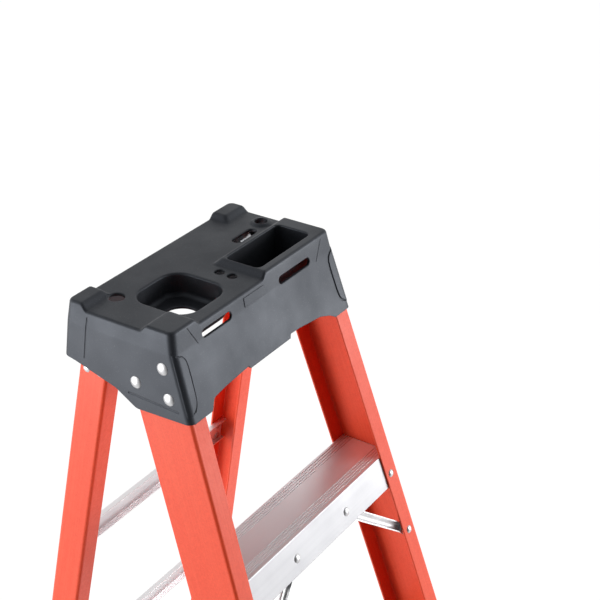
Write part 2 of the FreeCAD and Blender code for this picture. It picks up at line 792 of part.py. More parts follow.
def shoe_pad(xs, ys):
    """Rubber tread pad under the sole, with cross grooves."""
    face = box_outline(xs[0] + pad_inset, xs[1] - pad_inset, ys[0], ys[1], 0.0, 6.0)
    pad = face.extrude(Vector(0, 0, pad_thickness))
    count = int((ys[1] - ys[0] - 2 * pad_end) // pad_groove_pitch)
    first = (ys[0] + ys[1]) / 2 - (count - 1) * pad_groove_pitch / 2 - pad_groove_width / 2
    cuts = [Part.makeBox(xs[1] - xs[0], pad_groove_width, pad_groove_depth * 2,
                         Vector(xs[0], first + i * pad_groove_pitch, -pad_groove_depth))
            for i in range(count)]
    return pad.cut(Part.makeCompound(cuts))


shoe_rivet_height = 46.0


def shoe_rivets(side, half, splay, y0, run):
    """Two rivets through the boot's outer side and the web."""
    z = rail_foot + shoe_rivet_height
    normal = web_normal(side, splay)
    return [(Vector(side * (half(z) + shoe_gap + shoe_wall), y0(z) + share * run, z), normal,
             shoe_gap + shoe_wall + rail_wall, hinge_rivet_head) for share in (0.28, 0.72)]


# ---- spreaders ------------------------------------------------------------------------------
front_pivot = Vector(0, front_back_y(spreader_height), spreader_height) \
    - front_face_normal * spreader_front_setback
rear_pivot_start = Vector(0, rear_y(spreader_height), spreader_height) \
    + rear_face_normal * spreader_rear_setback
rear_pivot = Vector(0, rear_pivot_start.y, front_pivot.z)
fold_angle = front_slope + rear_slope


def turned(point, angle):
    """point of the rear frame after the frame closes by angle about the hinge pins."""
    y, z = point.y - pivot.y, point.z - pivot.z
    return Vector(point.x, pivot.y + y * math.cos(angle) + z * math.sin(angle),
                  pivot.z - y * math.sin(angle) + z * math.cos(angle))


def spreader_lengths():
    """Front and rear link lengths: in line when open, folded up along the rails when closed."""
    open_length = rear_pivot.y - front_pivot.y
    closed = turned(rear_pivot, fold_angle)
    rise = (closed - front_pivot).dot(front_up)
    return (open_length + rise) / 2, (open_length - rise) / 2


def folded_angles():
    """How far each link has turned from level when the frames are closed."""
    front_length, rear_length = spreader_lengths()
    closed = turned(rear_pivot, fold_angle)
    gap = closed - front_pivot
    distance = gap.Length
    bearing = math.atan2(gap.z, gap.y)
    spread = math.acos((front_length ** 2 + distance ** 2 - rear_length ** 2)
                       / (2 * front_length * distance))
    front_turn = min((bearing + spread, bearing - spread), key=lambda a: abs(a - math.pi / 2 + front_slope))
    knee = front_pivot + Vector(0, math.cos(front_turn), math.sin(front_turn)) * front_length
    back = knee - closed
    rear_turn = math.pi - math.atan2(back.z, back.y) - fold_angle
    return front_turn, rear_turn


link_hole = rivet_shank + 0.08
link_play = 0.1                 # each side of a link, along its rivet
pivot_dome = 2.2
bracket_height = 36.0
bracket_ear_reach = 10.0        # ear past the link's pivot
bracket_web_gap = 8.0           # leg's end from the web's outer face
bracket_rivet_rise = 11.0
front_link_x = spreader_plane - 0.4 - spreader_wall - spreader_layer_gap
rear_link_x = spreader_plane - 0.4


def flat_link(start, end, x_outer, side, holes):
    """Flat bar with round ends from start to end, outer face at x_outer."""
    along = Vector(side, 0, 0)
    r = spreader_width / 2
    x0 = x_outer - spreader_wall
    low = [Vector(side * x0, p.y, p.z - r) for p in (start, end)]
    high = [Vector(side * x0, p.y, p.z + r) for p in (end, start)]
    bar = outline(low + high).extrude(along * spreader_wall)
    pieces = [bar] + [rod(p, along, r, x0, x_outer) for p in (start, end)]
    cuts = [rod(p, along, link_hole, x0 - 1, x_outer + 1) for p in holes]
    return fuse(pieces).cut(Part.makeCompound(cuts))


def knee_point():
    return front_pivot + Vector(0, spreader_lengths()[0], 0)


def front_link(side):
    return flat_link(front_pivot, knee_point(), front_link_x, side, (front_pivot, knee_point()))


def rear_link(side):
    return flat_link(knee_point(), rear_pivot, rear_link_x, side, (knee_point(), rear_pivot))


def spreader_bracket(side, hole_at, face_y, outside, to_pivot, up, half, rivets):
    """Bent steel bracket: a leg riveted outside the rail's flange and an ear that holds a link."""
    z = spreader_height
    face = Vector(0, face_y(z), z)
    along = Vector(side, 0, 0)
    h = bracket_height / 2
    wall = spreader_wall
    x0, x1 = spreader_plane, half(z) - bracket_web_gap
    low, high = face - up * h, face + up * h
    leg = outline([Vector(side * x0, low.y, low.z), Vector(side * x1, low.y, low.z),
                   Vector(side * x1, high.y, high.z), Vector(side * x0, high.y, high.z)],
                  [0, 5, 5, 0]).extrude(outside * wall)
    reach = (hole_at - face).dot(to_pivot) + bracket_ear_reach
    start = min(0.0, wall * outside.dot(to_pivot))
    corners = [face - up * h + to_pivot * start, face - up * h + to_pivot * reach,
               face + up * h + to_pivot * reach, face + up * h + to_pivot * start]
    corners = [Vector(side * x0, c.y, c.z) for c in corners]
    ear = outline(corners, [0, 9, 9, 0]).extrude(along * wall)
    hole = rod(hole_at, along, rivet_shank + 0.02, x0 - 1, x0 + wall + 1)
    return pierced(fuse([leg, ear]).cut(hole), rivets)


def bracket_rivets(side, face_y, normal, up, half, flange):
    """Two rivets through the bracket's leg and the rail's flange."""
    z = spreader_height
    found = []
    for rise in (-bracket_rivet_rise, bracket_rivet_rise):
        face = Vector(0, face_y(z), z) + up * rise
        x = side * (half(face.z) - flange * 0.5)
        centre = Vector(x, face.y, face.z) + normal * spreader_wall
        found.append((centre, normal, spreader_wall + rail_wall, hinge_rivet_head))
    return found


def front_bracket_rivets(side):
    return bracket_rivets(side, front_back_y, -front_face_normal, front_up, front_half, front_flange)


def rear_bracket_rivets(side):
    return bracket_rivets(side, rear_y, -rear_face_normal, rear_up, rear_half, rear_flange)


def front_bracket(side):
    back = -front_face_normal
    return spreader_bracket(side, front_pivot, front_back_y, back, back, front_up, front_half,
                            front_bracket_rivets(side))


def rear_bracket(side):
    return spreader_bracket(side, rear_pivot, rear_y, -rear_face_normal, rear_face_normal,
                            rear_up, rear_half, rear_bracket_rivets(side))


def pivot_rivet(side, centre, link_x):
    """Rivet along X with a domed head at each end and a spacer between link and bracket."""
    along = Vector(side, 0, 0)
    x_in, x_out = link_x - spreader_wall - link_play, spreader_plane + spreader_wall
    pieces = [rod(centre, along, rivet_shank, x_in, x_out),
              dome(centre + along * x_out, along, hinge_rivet_head, pivot_dome),
              dome(centre + along * x_in, -along, hinge_rivet_head, pivot_dome),
              rod(centre, along, hinge_rivet_head, link_x + link_play, spreader_plane)]
    return fuse(pieces)


def front_pivot_rivet(side):
    return pivot_rivet(side, front_pivot, front_link_x)


def rear_pivot_rivet(side):
    return pivot_rivet(side, rear_pivot, rear_link_x)


def knee_rivet(side):
    """Knee rivet with its spacer; it stays with the front link."""
    along = Vector(side, 0, 0)
    at = knee_point()
    x_in, x_out = front_link_x - spreader_wall, front_link_x
    pieces = [rod(at, along, rivet_shank, x_in, x_out),
              dome(at + along * x_in, -along, hinge_rivet_head, pivot_dome),
              rod(at, along, hinge_rivet_head, x_out, rear_link_x - spreader_wall - knee_gap)]
    return fuse(pieces)


def knee_cap(side):
    """Outer head of the knee rivet; it stays with the rear link."""
    along = Vector(side, 0, 0)
    at = knee_point()
    return fuse([rod(at, along, rivet_shank, rear_link_x - spreader_wall, rear_link_x),
                 dome(at + along * rear_link_x, along, hinge_rivet_head, pivot_dome)])


# ---- all the pieces -------------------------------------------------------------------------
sides = (("left", -1), ("right", 1))


def build():
    nodes = {"top_cap": top_cap()}
    for number in range(1, step_count + 1):
        nodes[f"step_{number}"] = step(number)
    for number in range(1, horizontal_count + 1):
        nodes[f"rear_channel_{number}"] = rear_horizontal(number)
    all_steps = range(1, step_count + 1)
    all_channels = range(1, horizontal_count + 1)
    nodes["step_rivets"] = group([rivet(r) for n in all_steps for r in step_rivets(n)])
    nodes["brace_rivets"] = group([rivet(r) for n in all_steps for r in brace_rivets(n)])
    nodes["rear_channel_rivets"] = group([rivet(r) for n in all_channels for r in horizontal_rivets(n)])
    nodes["gusset_rivets"] = group([rivet(r) for r in gusset_rivets()])
    cap_fixings, hinge_fixings = [], []
    front_shoe_fixings, rear_shoe_fixings = [], []
    front_bracket_fixings, rear_bracket_fixings = [], []
    for name, side in sides:
        front_holes = [r for n in all_steps for r in step_rivets(n) + brace_rivets(n)]
        front_shoe_fixed = shoe_rivets(side, front_half, front_splay, front_y, front_run)
        front_holes += cap_rivets(side) + front_shoe_fixed + front_bracket_rivets(side)
        nodes[f"{name}_front_rail"] = pierced(front_rail(side), front_holes)
        rear_holes = [r for n in all_channels for r in horizontal_rivets(n)] + gusset_rivets()
        rear_shoe_fixed = shoe_rivets(side, rear_half, rear_splay, rear_y, rear_run)
        rear_holes += hinge_rivets(side) + rear_shoe_fixed + rear_bracket_rivets(side)
        nodes[f"{name}_rear_rail"] = pierced(rear_rail(side), rear_holes)
        nodes[f"{name}_step_braces"] = group([step_brace(n, side) for n in all_steps])
        nodes[f"{name}_rear_gusset"] = rear_gusset(side)
        nodes[f"{name}_hinge_plate"] = hinge_plate(side)
        nodes[f"{name}_hinge_pin"] = hinge_pin(side)
        boot, xs, ys = shoe(side, front_half, front_splay, front_y, front_run, front_slope, front_flange)
        nodes[f"{name}_front_shoe"] = pierced(boot, front_shoe_fixed)
        nodes[f"{name}_front_pad"] = shoe_pad(xs, ys)
        boot, xs, ys = shoe(side, rear_half, rear_splay, rear_y, rear_run, -rear_slope, rear_flange)
        nodes[f"{name}_rear_shoe"] = pierced(boot, rear_shoe_fixed)
        nodes[f"{name}_rear_pad"] = shoe_pad(xs, ys)
        nodes[f"{name}_front_bracket"] = front_bracket(side)
        nodes[f"{name}_rear_bracket"] = rear_bracket(side)
        nodes[f"{name}_front_link"] = front_link(side)
        nodes[f"{name}_rear_link"] = rear_link(side)
        nodes[f"{name}_front_pivot_rivet"] = front_pivot_rivet(side)
        nodes[f"{name}_rear_pivot_rivet"] = rear_pivot_rivet(side)
        nodes[f"{name}_knee_rivet"] = knee_rivet(side)
        nodes[f"{name}_knee_cap"] = knee_cap(side)
        cap_fixings += cap_rivets(side)
        hinge_fixings += hinge_rivets(side)
        front_shoe_fixings += front_shoe_fixed
        rear_shoe_fixings += rear_shoe_fixed
        front_bracket_fixings += front_bracket_rivets(side)
        rear_bracket_fixings += rear_bracket_rivets(side)
    nodes["cap_rivets"] = group([rivet(r) for r in cap_fixings])
    nodes["hinge_plate_rivets"] = group([rivet(r) for r in hinge_fixings])
    nodes["front_shoe_rivets"] = group([rivet(r) for r in front_shoe_fixings])
    nodes["rear_shoe_rivets"] = group([rivet(r) for r in rear_shoe_fixings])
    nodes["front_bracket_rivets"] = group([rivet(r) for r in front_bracket_fixings])
    nodes["rear_bracket_rivets"] = group([rivet(r) for r in rear_bracket_fixings])
    return nodes


if __name__ == "__main__":
    os.makedirs("parts", exist_ok=True)
    for node, shape in build().items():
        shape.exportStep(f"parts/{node}.step")
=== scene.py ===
import json
import math

import bpy
import numpy as np
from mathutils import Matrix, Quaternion, Vector


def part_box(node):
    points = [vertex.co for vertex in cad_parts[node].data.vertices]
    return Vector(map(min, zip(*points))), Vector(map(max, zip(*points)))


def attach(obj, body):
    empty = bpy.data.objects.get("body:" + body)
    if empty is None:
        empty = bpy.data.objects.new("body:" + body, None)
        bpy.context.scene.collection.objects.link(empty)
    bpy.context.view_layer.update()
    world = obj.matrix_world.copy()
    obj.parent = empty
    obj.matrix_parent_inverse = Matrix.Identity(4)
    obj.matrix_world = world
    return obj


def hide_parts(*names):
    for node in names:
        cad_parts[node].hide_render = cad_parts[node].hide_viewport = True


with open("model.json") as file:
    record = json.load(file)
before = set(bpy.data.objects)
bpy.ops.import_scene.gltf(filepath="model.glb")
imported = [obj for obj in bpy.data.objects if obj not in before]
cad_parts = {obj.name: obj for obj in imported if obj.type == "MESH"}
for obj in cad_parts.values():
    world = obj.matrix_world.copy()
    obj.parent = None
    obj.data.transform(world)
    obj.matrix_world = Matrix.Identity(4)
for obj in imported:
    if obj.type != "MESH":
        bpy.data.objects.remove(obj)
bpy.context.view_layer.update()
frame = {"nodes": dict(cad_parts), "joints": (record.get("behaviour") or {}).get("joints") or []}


# ---- studio: where the ladder stands while it is looked at -----------------------------------
# A wide glowing table top under the ladder, two large soft boxes and a dim room above.  What the
# ladder reflects is dark towards the left front, which draws a deep line down its rounded corners.
camera_place = Vector((-1.27723, -0.90126, 2.58051))
camera_yaw, camera_pitch, camera_roll = (math.radians(angle) for angle in (-55.908, 28.727, -0.548))
camera_lens, camera_film = 85.87, 36.0

camera = bpy.data.objects.new("camera", bpy.data.cameras.new("camera"))
bpy.context.scene.collection.objects.link(camera)
camera.data.lens = camera_lens
camera.data.sensor_width = camera_film
camera.location = camera_place
backwards = Vector((math.sin(camera_yaw) * math.cos(camera_pitch),
                    -math.cos(camera_yaw) * math.cos(camera_pitch), math.sin(camera_pitch)))
camera.rotation_mode = "QUATERNION"
level_look = (-backwards).to_track_quat("-Z", "Y")
camera.rotation_quaternion = level_look @ Quaternion((0.0, 0.0, 1.0), camera_roll)
bpy.context.scene.camera = camera
bpy.context.scene.view_settings.view_transform = "Standard"


def add(tree, kind, inputs=None, **settings):
    """Puts a node in a tree.  inputs gives each socket a value, or the output that feeds it."""
    made = tree.nodes.new(kind)
    for name, value in settings.items():
        setattr(made, name, value)
    for socket, value in (inputs or {}).items():
        if isinstance(value, bpy.types.NodeSocket):
            tree.links.new(value, made.inputs[socket])
        else:
            made.inputs[socket].default_value = value
    return made


light_aim = Vector((0.0, 0.0, 1.45))


def soft_box(name, towards, distance, width, height, power):
    """Area light that stands off from light_aim in one direction and faces it."""
    light = bpy.data.lights.new(name, "AREA")
    light.shape = "RECTANGLE"
    light.size, light.size_y = width, height
    light.energy = power
    lamp = bpy.data.objects.new(name, light)
    bpy.context.scene.collection.objects.link(lamp)
    lamp.location = light_aim + Vector(towards).normalized() * distance
    lamp.rotation_mode = "QUATERNION"
    lamp.rotation_quaternion = Vector(towards).to_track_quat("Z", "Y")


soft_box("key_light", (0.61, -0.79, 0.10), 2.6, 1.6, 1.4, 48.0)
soft_box("side_light", (-0.80, 0.60, -0.02), 2.6, 1.6, 1.6, 50.0)


def darker_left_front(tree, direction):
    """1 all round, falling to almost nothing in a sector towards the left front."""
    middle_of_sector = (-0.66, -0.75, 0.0)
    level = add(tree, "ShaderNodeVectorMath", {0: direction, 1: (1.0, 1.0, 0.0)}, operation="MULTIPLY")
    level = add(tree, "ShaderNodeVectorMath", {0: level.outputs[0]}, operation="NORMALIZE")
    facing = add(tree, "ShaderNodeVectorMath", {0: level.outputs[0], 1: middle_of_sector},
                 operation="DOT_PRODUCT")
    return add(tree, "ShaderNodeMapRange", {0: facing.outputs["Value"], 1: 0.50, 2: 0.90, 3: 1.0, 4: 0.04},
               interpolation_type="SMOOTHSTEP").outputs[0]


def studio_room():
    """Room light: bright up to half height, dim above, dark towards the left front; white to the eye."""
    world = bpy.data.worlds.new("studio")
    bpy.context.scene.world = world
    world.use_nodes = True
    tree = world.node_tree
    tree.nodes.clear()
    place = add(tree, "ShaderNodeTexCoord")
    height = add(tree, "ShaderNodeSeparateXYZ", {0: place.outputs["Generated"]})
    upper = add(tree, "ShaderNodeMapRange", {0: height.outputs["Z"], 1: 0.52, 2: 0.90, 3: 1.0, 4: 0.45},
                interpolation_type="SMOOTHSTEP")
    sector = darker_left_front(tree, place.outputs["Generated"])
    fade = add(tree, "ShaderNodeMath", {0: upper.outputs[0], 1: sector}, operation="MULTIPLY")
    seen = add(tree, "ShaderNodeLightPath")
    strength = add(tree, "ShaderNodeMix", {0: seen.outputs["Is Camera Ray"], 2: fade.outputs[0], 3: 1.0})
    light = add(tree, "ShaderNodeBackground", {"Color": (1.0, 1.0, 1.0, 1.0), 1: strength.outputs[0]})
    add(tree, "ShaderNodeOutputWorld", {0: light.outputs[0]})


studio_room()


def table_top(radius=14.0, glow_cast=0.96, glow_seen=0.88):
    """Flat disc lit from inside like opal acrylic: points at equal turns round a circle."""
    turn = np.linspace(0.0, 2.0 * np.pi, 97)[:-1]
    ring = np.stack([np.cos(turn), np.sin(turn), np.zeros_like(turn)], 1) * radius
    mesh = bpy.data.meshes.new("table_top")
    mesh.from_pydata(ring.tolist(), [], [list(range(len(ring)))])
    material = bpy.data.materials.new("opal_table")
    material.use_nodes = True
    tree = material.node_tree
    shader = tree.nodes["Principled BSDF"]
    shader.inputs["Base Color"].default_value = (0.16, 0.16, 0.16, 1.0)
    shader.inputs["Roughness"].default_value = 0.7
    shader.inputs["Emission Color"].default_value = (1.0, 1.0, 1.0, 1.0)
    place = add(tree, "ShaderNodeTexCoord").outputs["Object"]
    cast = add(tree, "ShaderNodeMath", {0: darker_left_front(tree, place), 1: glow_cast},
               operation="MULTIPLY")
    seen = add(tree, "ShaderNodeLightPath")
    glow = add(tree, "ShaderNodeMix", {0: seen.outputs["Is Camera Ray"], 2: cast.outputs[0], 3: glow_seen})
    tree.links.new(glow.outputs[0], shader.inputs["Emission Strength"])
    mesh.materials.append(material)
    floor = bpy.data.objects.new("table_top", mesh)
    bpy.context.scene.collection.objects.link(floor)


table_top()


# ---- rails: four pultruded fibreglass channels -----------------------------------------------
# Each rail is a channel of glass roving and surface veil in orange-red polyester resin, drawn
# through a heated die, so its fibres run lengthwise under a satin skin with rounded corners.
resin = (0.84, 0.078, 0.026, 1.0)
resin_deep = (0.60, 0.032, 0.010, 1.0)
resin_pale = (0.93, 0.150, 0.066, 1.0)
resin_rubbed = (0.92, 0.30, 0.20, 1.0)
front_lean, rear_lean = math.radians(17.2), math.radians(-11.0)
front_splay, rear_splay = 0.063, 0.0527


def new_group(name, inputs, outputs):
    """Empty node group; inputs are (name, socket kind, value) and outputs are (name, kind)."""
    group = bpy.data.node_groups.new(name, "ShaderNodeTree")
    for label, kind, value in inputs:
        socket = group.interface.new_socket(label, in_out="INPUT", socket_type=kind)
        if value is not None:
            socket.default_value = value
    for label, kind in outputs:
        group.interface.new_socket(label, in_out="OUTPUT", socket_type=kind)
    return group, group.nodes.new("NodeGroupInput"), group.nodes.new("NodeGroupOutput")


def use(tree, group, inputs=None):
    """Places a node group in a material's tree."""
    return add(tree, "ShaderNodeGroup", inputs, node_tree=group)


def math_node(tree, operation, first, second=0.0, third=0.0):
    """Sum, product or other operation on up to three values."""
    return add(tree, "ShaderNodeMath", {0: first, 1: second, 2: third}, operation=operation).outputs[0]


def noise(tree, vector, scale, detail=2.0, roughness=0.5, distortion=0.0):
    """Cloudy value about 0.5."""
    return add(tree, "ShaderNodeTexNoise", {"Vector": vector, "Scale": scale, "Detail": detail,
                                            "Roughness": roughness, "Distortion": distortion}).outputs[0]


def spread(tree, value, low, high, out_low=0.0, out_high=1.0):
    """Maps low..high to out_low..out_high, held at the ends."""
    return add(tree, "ShaderNodeMapRange", {0: value, 1: low, 2: high, 3: out_low, 4: out_high}).outputs[0]


def mix_colour(tree, share, first, second):
    """First colour, going over to the second as share goes from 0 to 1."""
    made = add(tree, "ShaderNodeMix", data_type="RGBA")
    for socket, value in ((0, share), (6, first), (7, second)):
        if isinstance(value, bpy.types.NodeSocket):
            tree.links.new(value, made.inputs[socket])
        else:
            made.inputs[socket].default_value = value
    return made.outputs[2]


def make_edge_group():
    """Softened normal along sharp edges, and a mask that is 1 on an edge and 0 on a flat face."""
    group, entry, leave = new_group(
        "softened_edge", [("Radius", "NodeSocketFloat", 0.001), ("Breakup", "NodeSocketFloat", 0.5)],
        [("Normal", "NodeSocketVector"), ("Edge", "NodeSocketFloat")])
    rounded = add(group, "ShaderNodeBevel", {"Radius": entry.outputs["Radius"]}, samples=6)
    flat = add(group, "ShaderNodeNewGeometry")
    turn = add(group, "ShaderNodeVectorMath", {0: rounded.outputs[0], 1: flat.outputs["Normal"]},
               operation="DOT_PRODUCT")
    bare = spread(group, turn.outputs["Value"], 0.995, 0.86)
    place = add(group, "ShaderNodeTexCoord").outputs["Object"]
    patchy = spread(group, noise(group, place, 60.0, 4.0), 0.35, 0.65)
    kept = math_node(group, "MULTIPLY_ADD", patchy, entry.outputs["Breakup"],
                     math_node(group, "SUBTRACT", 1.0, entry.outputs["Breakup"]))
    group.links.new(rounded.outputs[0], leave.inputs["Normal"])
    group.links.new(math_node(group, "MULTIPLY", bare, kept), leave.inputs["Edge"])
    return group


def make_handling_group():
    """Broad soft patches and fine specks, for smudges and dust left by hands and storage."""
    group, entry, leave = new_group(
        "handling", [("Vector", "NodeSocketVector", None), ("Patch Scale", "NodeSocketFloat", 6.0)],
        [("Smudge", "NodeSocketFloat"), ("Specks", "NodeSocketFloat")])
    broad = noise(group, entry.outputs["Vector"], entry.outputs["Patch Scale"], 5.0, 0.6)
    fine = noise(group, entry.outputs["Vector"], 700.0, 1.0)
    group.links.new(spread(group, broad, 0.36, 0.68), leave.inputs["Smudge"])
    group.links.new(spread(group, fine, 0.66, 0.76), leave.inputs["Specks"])
    return group


edge_group = make_edge_group()
handling_group = make_handling_group()


def make_fibre_group():
    """Glass fibre under resin: long rovings along Z, and a finer tangled veil over them."""
    group, entry, leave = new_group("glass_fibre", [("Vector", "NodeSocketVector", None)],
                                    [("Roving", "NodeSocketFloat"), ("Veil", "NodeSocketFloat")])
    drawn = add(group, "ShaderNodeVectorMath", {0: entry.outputs["Vector"], 1: (1.0, 1.0, 0.02)},
                operation="MULTIPLY").outputs[0]
    roving = noise(group, drawn, 420.0, 3.0, 0.6)
    tangled = noise(group, entry.outputs["Vector"], 210.0, 3.0, 0.5, 1.6)
    group.links.new(spread(group, roving, 0.3, 0.7), leave.inputs["Roving"])
    group.links.new(spread(group, tangled, 0.36, 0.64), leave.inputs["Veil"])
    return group


fibre_group = make_fibre_group()


def new_material(name):
    """Material with an empty tree, its Principled shader and its output joined."""
    material = bpy.data.materials.new(name)
    material.use_nodes = True
    tree = material.node_tree
    tree.nodes.clear()
    shader = add(tree, "ShaderNodeBsdfPrincipled")
    add(tree, "ShaderNodeOutputMaterial", {"Surface": shader.outputs[0]})
    return material, tree, shader


def connect(tree, shader, **sockets):
    """Joins outputs, or sets values, on the shader's sockets named with _ for a space."""
    for name, value in sockets.items():
        socket = shader.inputs[name.replace("_", " ")]
        if isinstance(value, bpy.types.NodeSocket):
            tree.links.new(value, socket)
        else:
            socket.default_value = value


def along_rail(tree, lean, splay, side):
    """Object position turned so that Z runs along a rail that leans and splays."""
    direction = Vector((-side * splay, math.tan(lean), 1.0)).normalized()
    turn = direction.rotation_difference(Vector((0.0, 0.0, 1.0))).to_euler()
    place = add(tree, "ShaderNodeTexCoord")
    turned = add(tree, "ShaderNodeMapping", {"Vector": place.outputs["Object"], "Rotation": tuple(turn)})
    return turned.outputs[0]


def fibreglass(name, lean, splay, side):
    """Satin orange-red resin over visible glass, with paler rubbed edges."""
    material, tree, shader = new_material(name)
    place = along_rail(tree, lean, splay, side)
    fibre = use(tree, fibre_group, {"Vector": place})
    smudge = use(tree, handling_group, {"Vector": place, "Patch Scale": 7.0})
    edge = use(tree, edge_group, {"Radius": 0.0012, "Breakup": 0.6})
    veil = spread(tree, fibre.outputs["Veil"], 0.0, 1.0, 0.0, 0.30)
    roving = spread(tree, fibre.outputs["Roving"], 0.3, 1.0, 0.0, 0.22)
    edge_lightening = math_node(tree, "MULTIPLY", edge.outputs["Edge"], 0.35)
    colour = mix_colour(tree, veil, resin, resin_deep)
    colour = mix_colour(tree, roving, colour, resin_pale)
    colour = mix_colour(tree, edge_lightening, colour, resin_rubbed)
    colour = mix_colour(tree, math_node(tree, "MULTIPLY", smudge.outputs["Smudge"], 0.10), colour,
                        resin_deep)
    rough = math_node(tree, "MULTIPLY_ADD", smudge.outputs["Smudge"], 0.12, 0.33)
    rough = math_node(tree, "MULTIPLY_ADD", fibre.outputs["Veil"], 0.08, rough)
    height = math_node(tree, "MULTIPLY_ADD", fibre.outputs["Roving"], 0.6, fibre.outputs["Veil"])
    bump = add(tree, "ShaderNodeBump", {"Strength": 0.18, "Distance": 0.0002, "Height": height,
                                        "Normal": edge.outputs["Normal"]})
    connect(tree, shader, Base_Color=colour, Roughness=rough, Normal=bump.outputs[0], IOR=1.40)
    return material


def dress(node, material):
    """Gives a CAD node its finish."""
    shown = frame["nodes"][node]
    shown.material_slots[0].material = material


for side_name, side in (("left", -1), ("right", 1)):
    for end, lean, splay in (("front", front_lean, front_splay), ("rear", rear_lean, rear_splay)):
        dress(f"{side_name}_{end}_rail", fibreglass(f"fibreglass_{end}_{side_name}", lean, splay, side))


# ---- steps and rear cross channels: extruded aluminium ---------------------------------------
# The treads are ribbed extrusions and the rear channels are roll-formed strip, both cut across
# and left as they come from the mill: fine lines along their length, a soft grey shine.
def make_mill_group():
    """Drawing lines along X: long thin streaks of two widths."""
    group, entry, leave = new_group("mill_lines", [("Vector", "NodeSocketVector", None)],
                                    [("Lines", "NodeSocketFloat"), ("Bands", "NodeSocketFloat")])
    drawn = add(group, "ShaderNodeVectorMath", {0: entry.outputs["Vector"], 1: (0.015, 1.0, 1.0)},
                operation="MULTIPLY").outputs[0]
    group.links.new(spread(group, noise(group, drawn, 1400.0, 3.0, 0.7), 0.25, 0.75), leave.inputs["Lines"])
    group.links.new(spread(group, noise(group, drawn, 110.0, 2.0), 0.3, 0.7), leave.inputs["Bands"])
    return group


mill_group = make_mill_group()


def mill_aluminium(name, painted_top_highlight, bright, dull, roughness, streak, polish):
    """Bare aluminium with drawing lines along X, faint bands and a painted highlight along sharp edges.

    Faces that point up carry a painted highlight too; polish is how much of the rest is metal and not dull
    oxide.
    """
    material, tree, shader = new_material(name)
    coordinates = add(tree, "ShaderNodeTexCoord")
    place = coordinates.outputs["Object"]
    upward = add(tree, "ShaderNodeSeparateXYZ", {0: coordinates.outputs["Normal"]}).outputs["Z"]
    lines = use(tree, mill_group, {"Vector": place})
    smudge = use(tree, handling_group, {"Vector": place, "Patch Scale": 11.0})
    edge = use(tree, edge_group, {"Radius": 0.0006, "Breakup": 0.05})
    shade = math_node(tree, "MULTIPLY_ADD", lines.outputs["Bands"], 0.6,
                      math_node(tree, "MULTIPLY", smudge.outputs["Smudge"], 0.4))
    # Painted highlight: faces that point up are mixed towards a near-white colour, as if lit from above.
    level = math_node(tree, "MULTIPLY", spread(tree, upward, 0.7, 0.95), 0.85)
    # Painted highlight: sharp edges are mixed towards near white so that the groove edges show as light
    # lines.
    edge_lightening = math_node(tree, "MULTIPLY", edge.outputs["Edge"], 0.8)
    colour = mix_colour(tree, shade, bright, dull)
    colour = mix_colour(tree, level, colour, painted_top_highlight)
    colour = mix_colour(tree, edge_lightening, colour, (0.98, 0.98, 0.99, 1.0))
    rough = math_node(tree, "MULTIPLY_ADD", lines.outputs["Lines"], streak, roughness)
    rough = math_node(tree, "MULTIPLY_ADD", smudge.outputs["Smudge"], 0.10, rough)
    bump = add(tree, "ShaderNodeBump", {"Strength": 0.10, "Distance": 0.00010,
                                        "Height": lines.outputs["Lines"], "Normal": edge.outputs["Normal"]})
    along = add(tree, "ShaderNodeCombineXYZ", {0: 1.0, 1: 0.0, 2: 0.0}).outputs[0]
    connect(tree, shader, Base_Color=colour, Roughness=rough, Normal=bump.outputs[0], Metallic=polish,
            Anisotropic=0.5, Tangent=along)
    return material


# The first colour given to each is the painted highlight laid on faces that point up.
tread_metal = mill_aluminium("tread_aluminium", (0.95, 0.93, 0.95, 1.0), (0.56, 0.56, 0.575, 1.0),
                             (0.48, 0.48, 0.50, 1.0), 0.36, 0.10, 0.82)
channel_metal = mill_aluminium("channel_aluminium", (0.95, 0.94, 0.95, 1.0), (0.86, 0.85, 0.865, 1.0),
                               (0.77, 0.76, 0.78, 1.0), 0.36, 0.08, 0.80)
for number in range(1, 6):
    dress(f"step_{number}", tread_metal)
    dress(f"rear_channel_{number}", channel_metal)


# ---- struts and gussets: pressed aluminium ---------------------------------------------------
# Half-round struts under each tread and flat bars at the bottom of the rear frame are pressed
# from strip, so their skin is even and slightly dimpled instead of lined.
def pressed_aluminium(name, tint, roughness, dimple_scale):
    """Even satin metal with shallow press marks."""
    material, tree, shader = new_material(name)
    place = add(tree, "ShaderNodeTexCoord").outputs["Object"]
    smudge = use(tree, handling_group, {"Vector": place, "Patch Scale": 30.0})
    edge = use(tree, edge_group, {"Radius": 0.0006, "Breakup": 0.3})
    dimples = noise(tree, place, dimple_scale, 3.0)
    darker = tuple(value * 0.82 for value in tint[:3]) + (1.0,)
    colour = mix_colour(tree, smudge.outputs["Smudge"], tint, darker)
    colour = mix_colour(tree, edge.outputs["Edge"], colour, (0.94, 0.94, 0.95, 1.0))
    rough = math_node(tree, "MULTIPLY_ADD", smudge.outputs["Smudge"], 0.12, roughness)
    bump = add(tree, "ShaderNodeBump", {"Strength": 0.2, "Distance": 0.0002, "Height": dimples,
                                        "Normal": edge.outputs["Normal"]})
    connect(tree, shader, Base_Color=colour, Roughness=rough, Normal=bump.outputs[0], Metallic=1.0)
    return material


strut_metal = pressed_aluminium("pressed_strut", (0.70, 0.70, 0.71, 1.0), 0.36, 180.0)
for side_name in ("left", "right"):
    dress(f"{side_name}_step_braces", strut_metal)
    dress(f"{side_name}_rear_gusset", strut_metal)


# ---- rivets: set aluminium and zinc-plated steel ---------------------------------------------
# Domed rivets hold everything together; the setting tool leaves them smooth and bright.  The
# hinge and spreader parts are plated steel with a slightly blue, cloudy shine.
rivet_metal = pressed_aluminium("set_rivet", (0.66, 0.66, 0.67, 1.0), 0.30, 420.0)
for group_name in ("step", "brace", "rear_channel", "gusset", "cap", "hinge_plate", "front_shoe",
                   "rear_shoe", "front_bracket", "rear_bracket"):
    dress(f"{group_name}_rivets", rivet_metal)


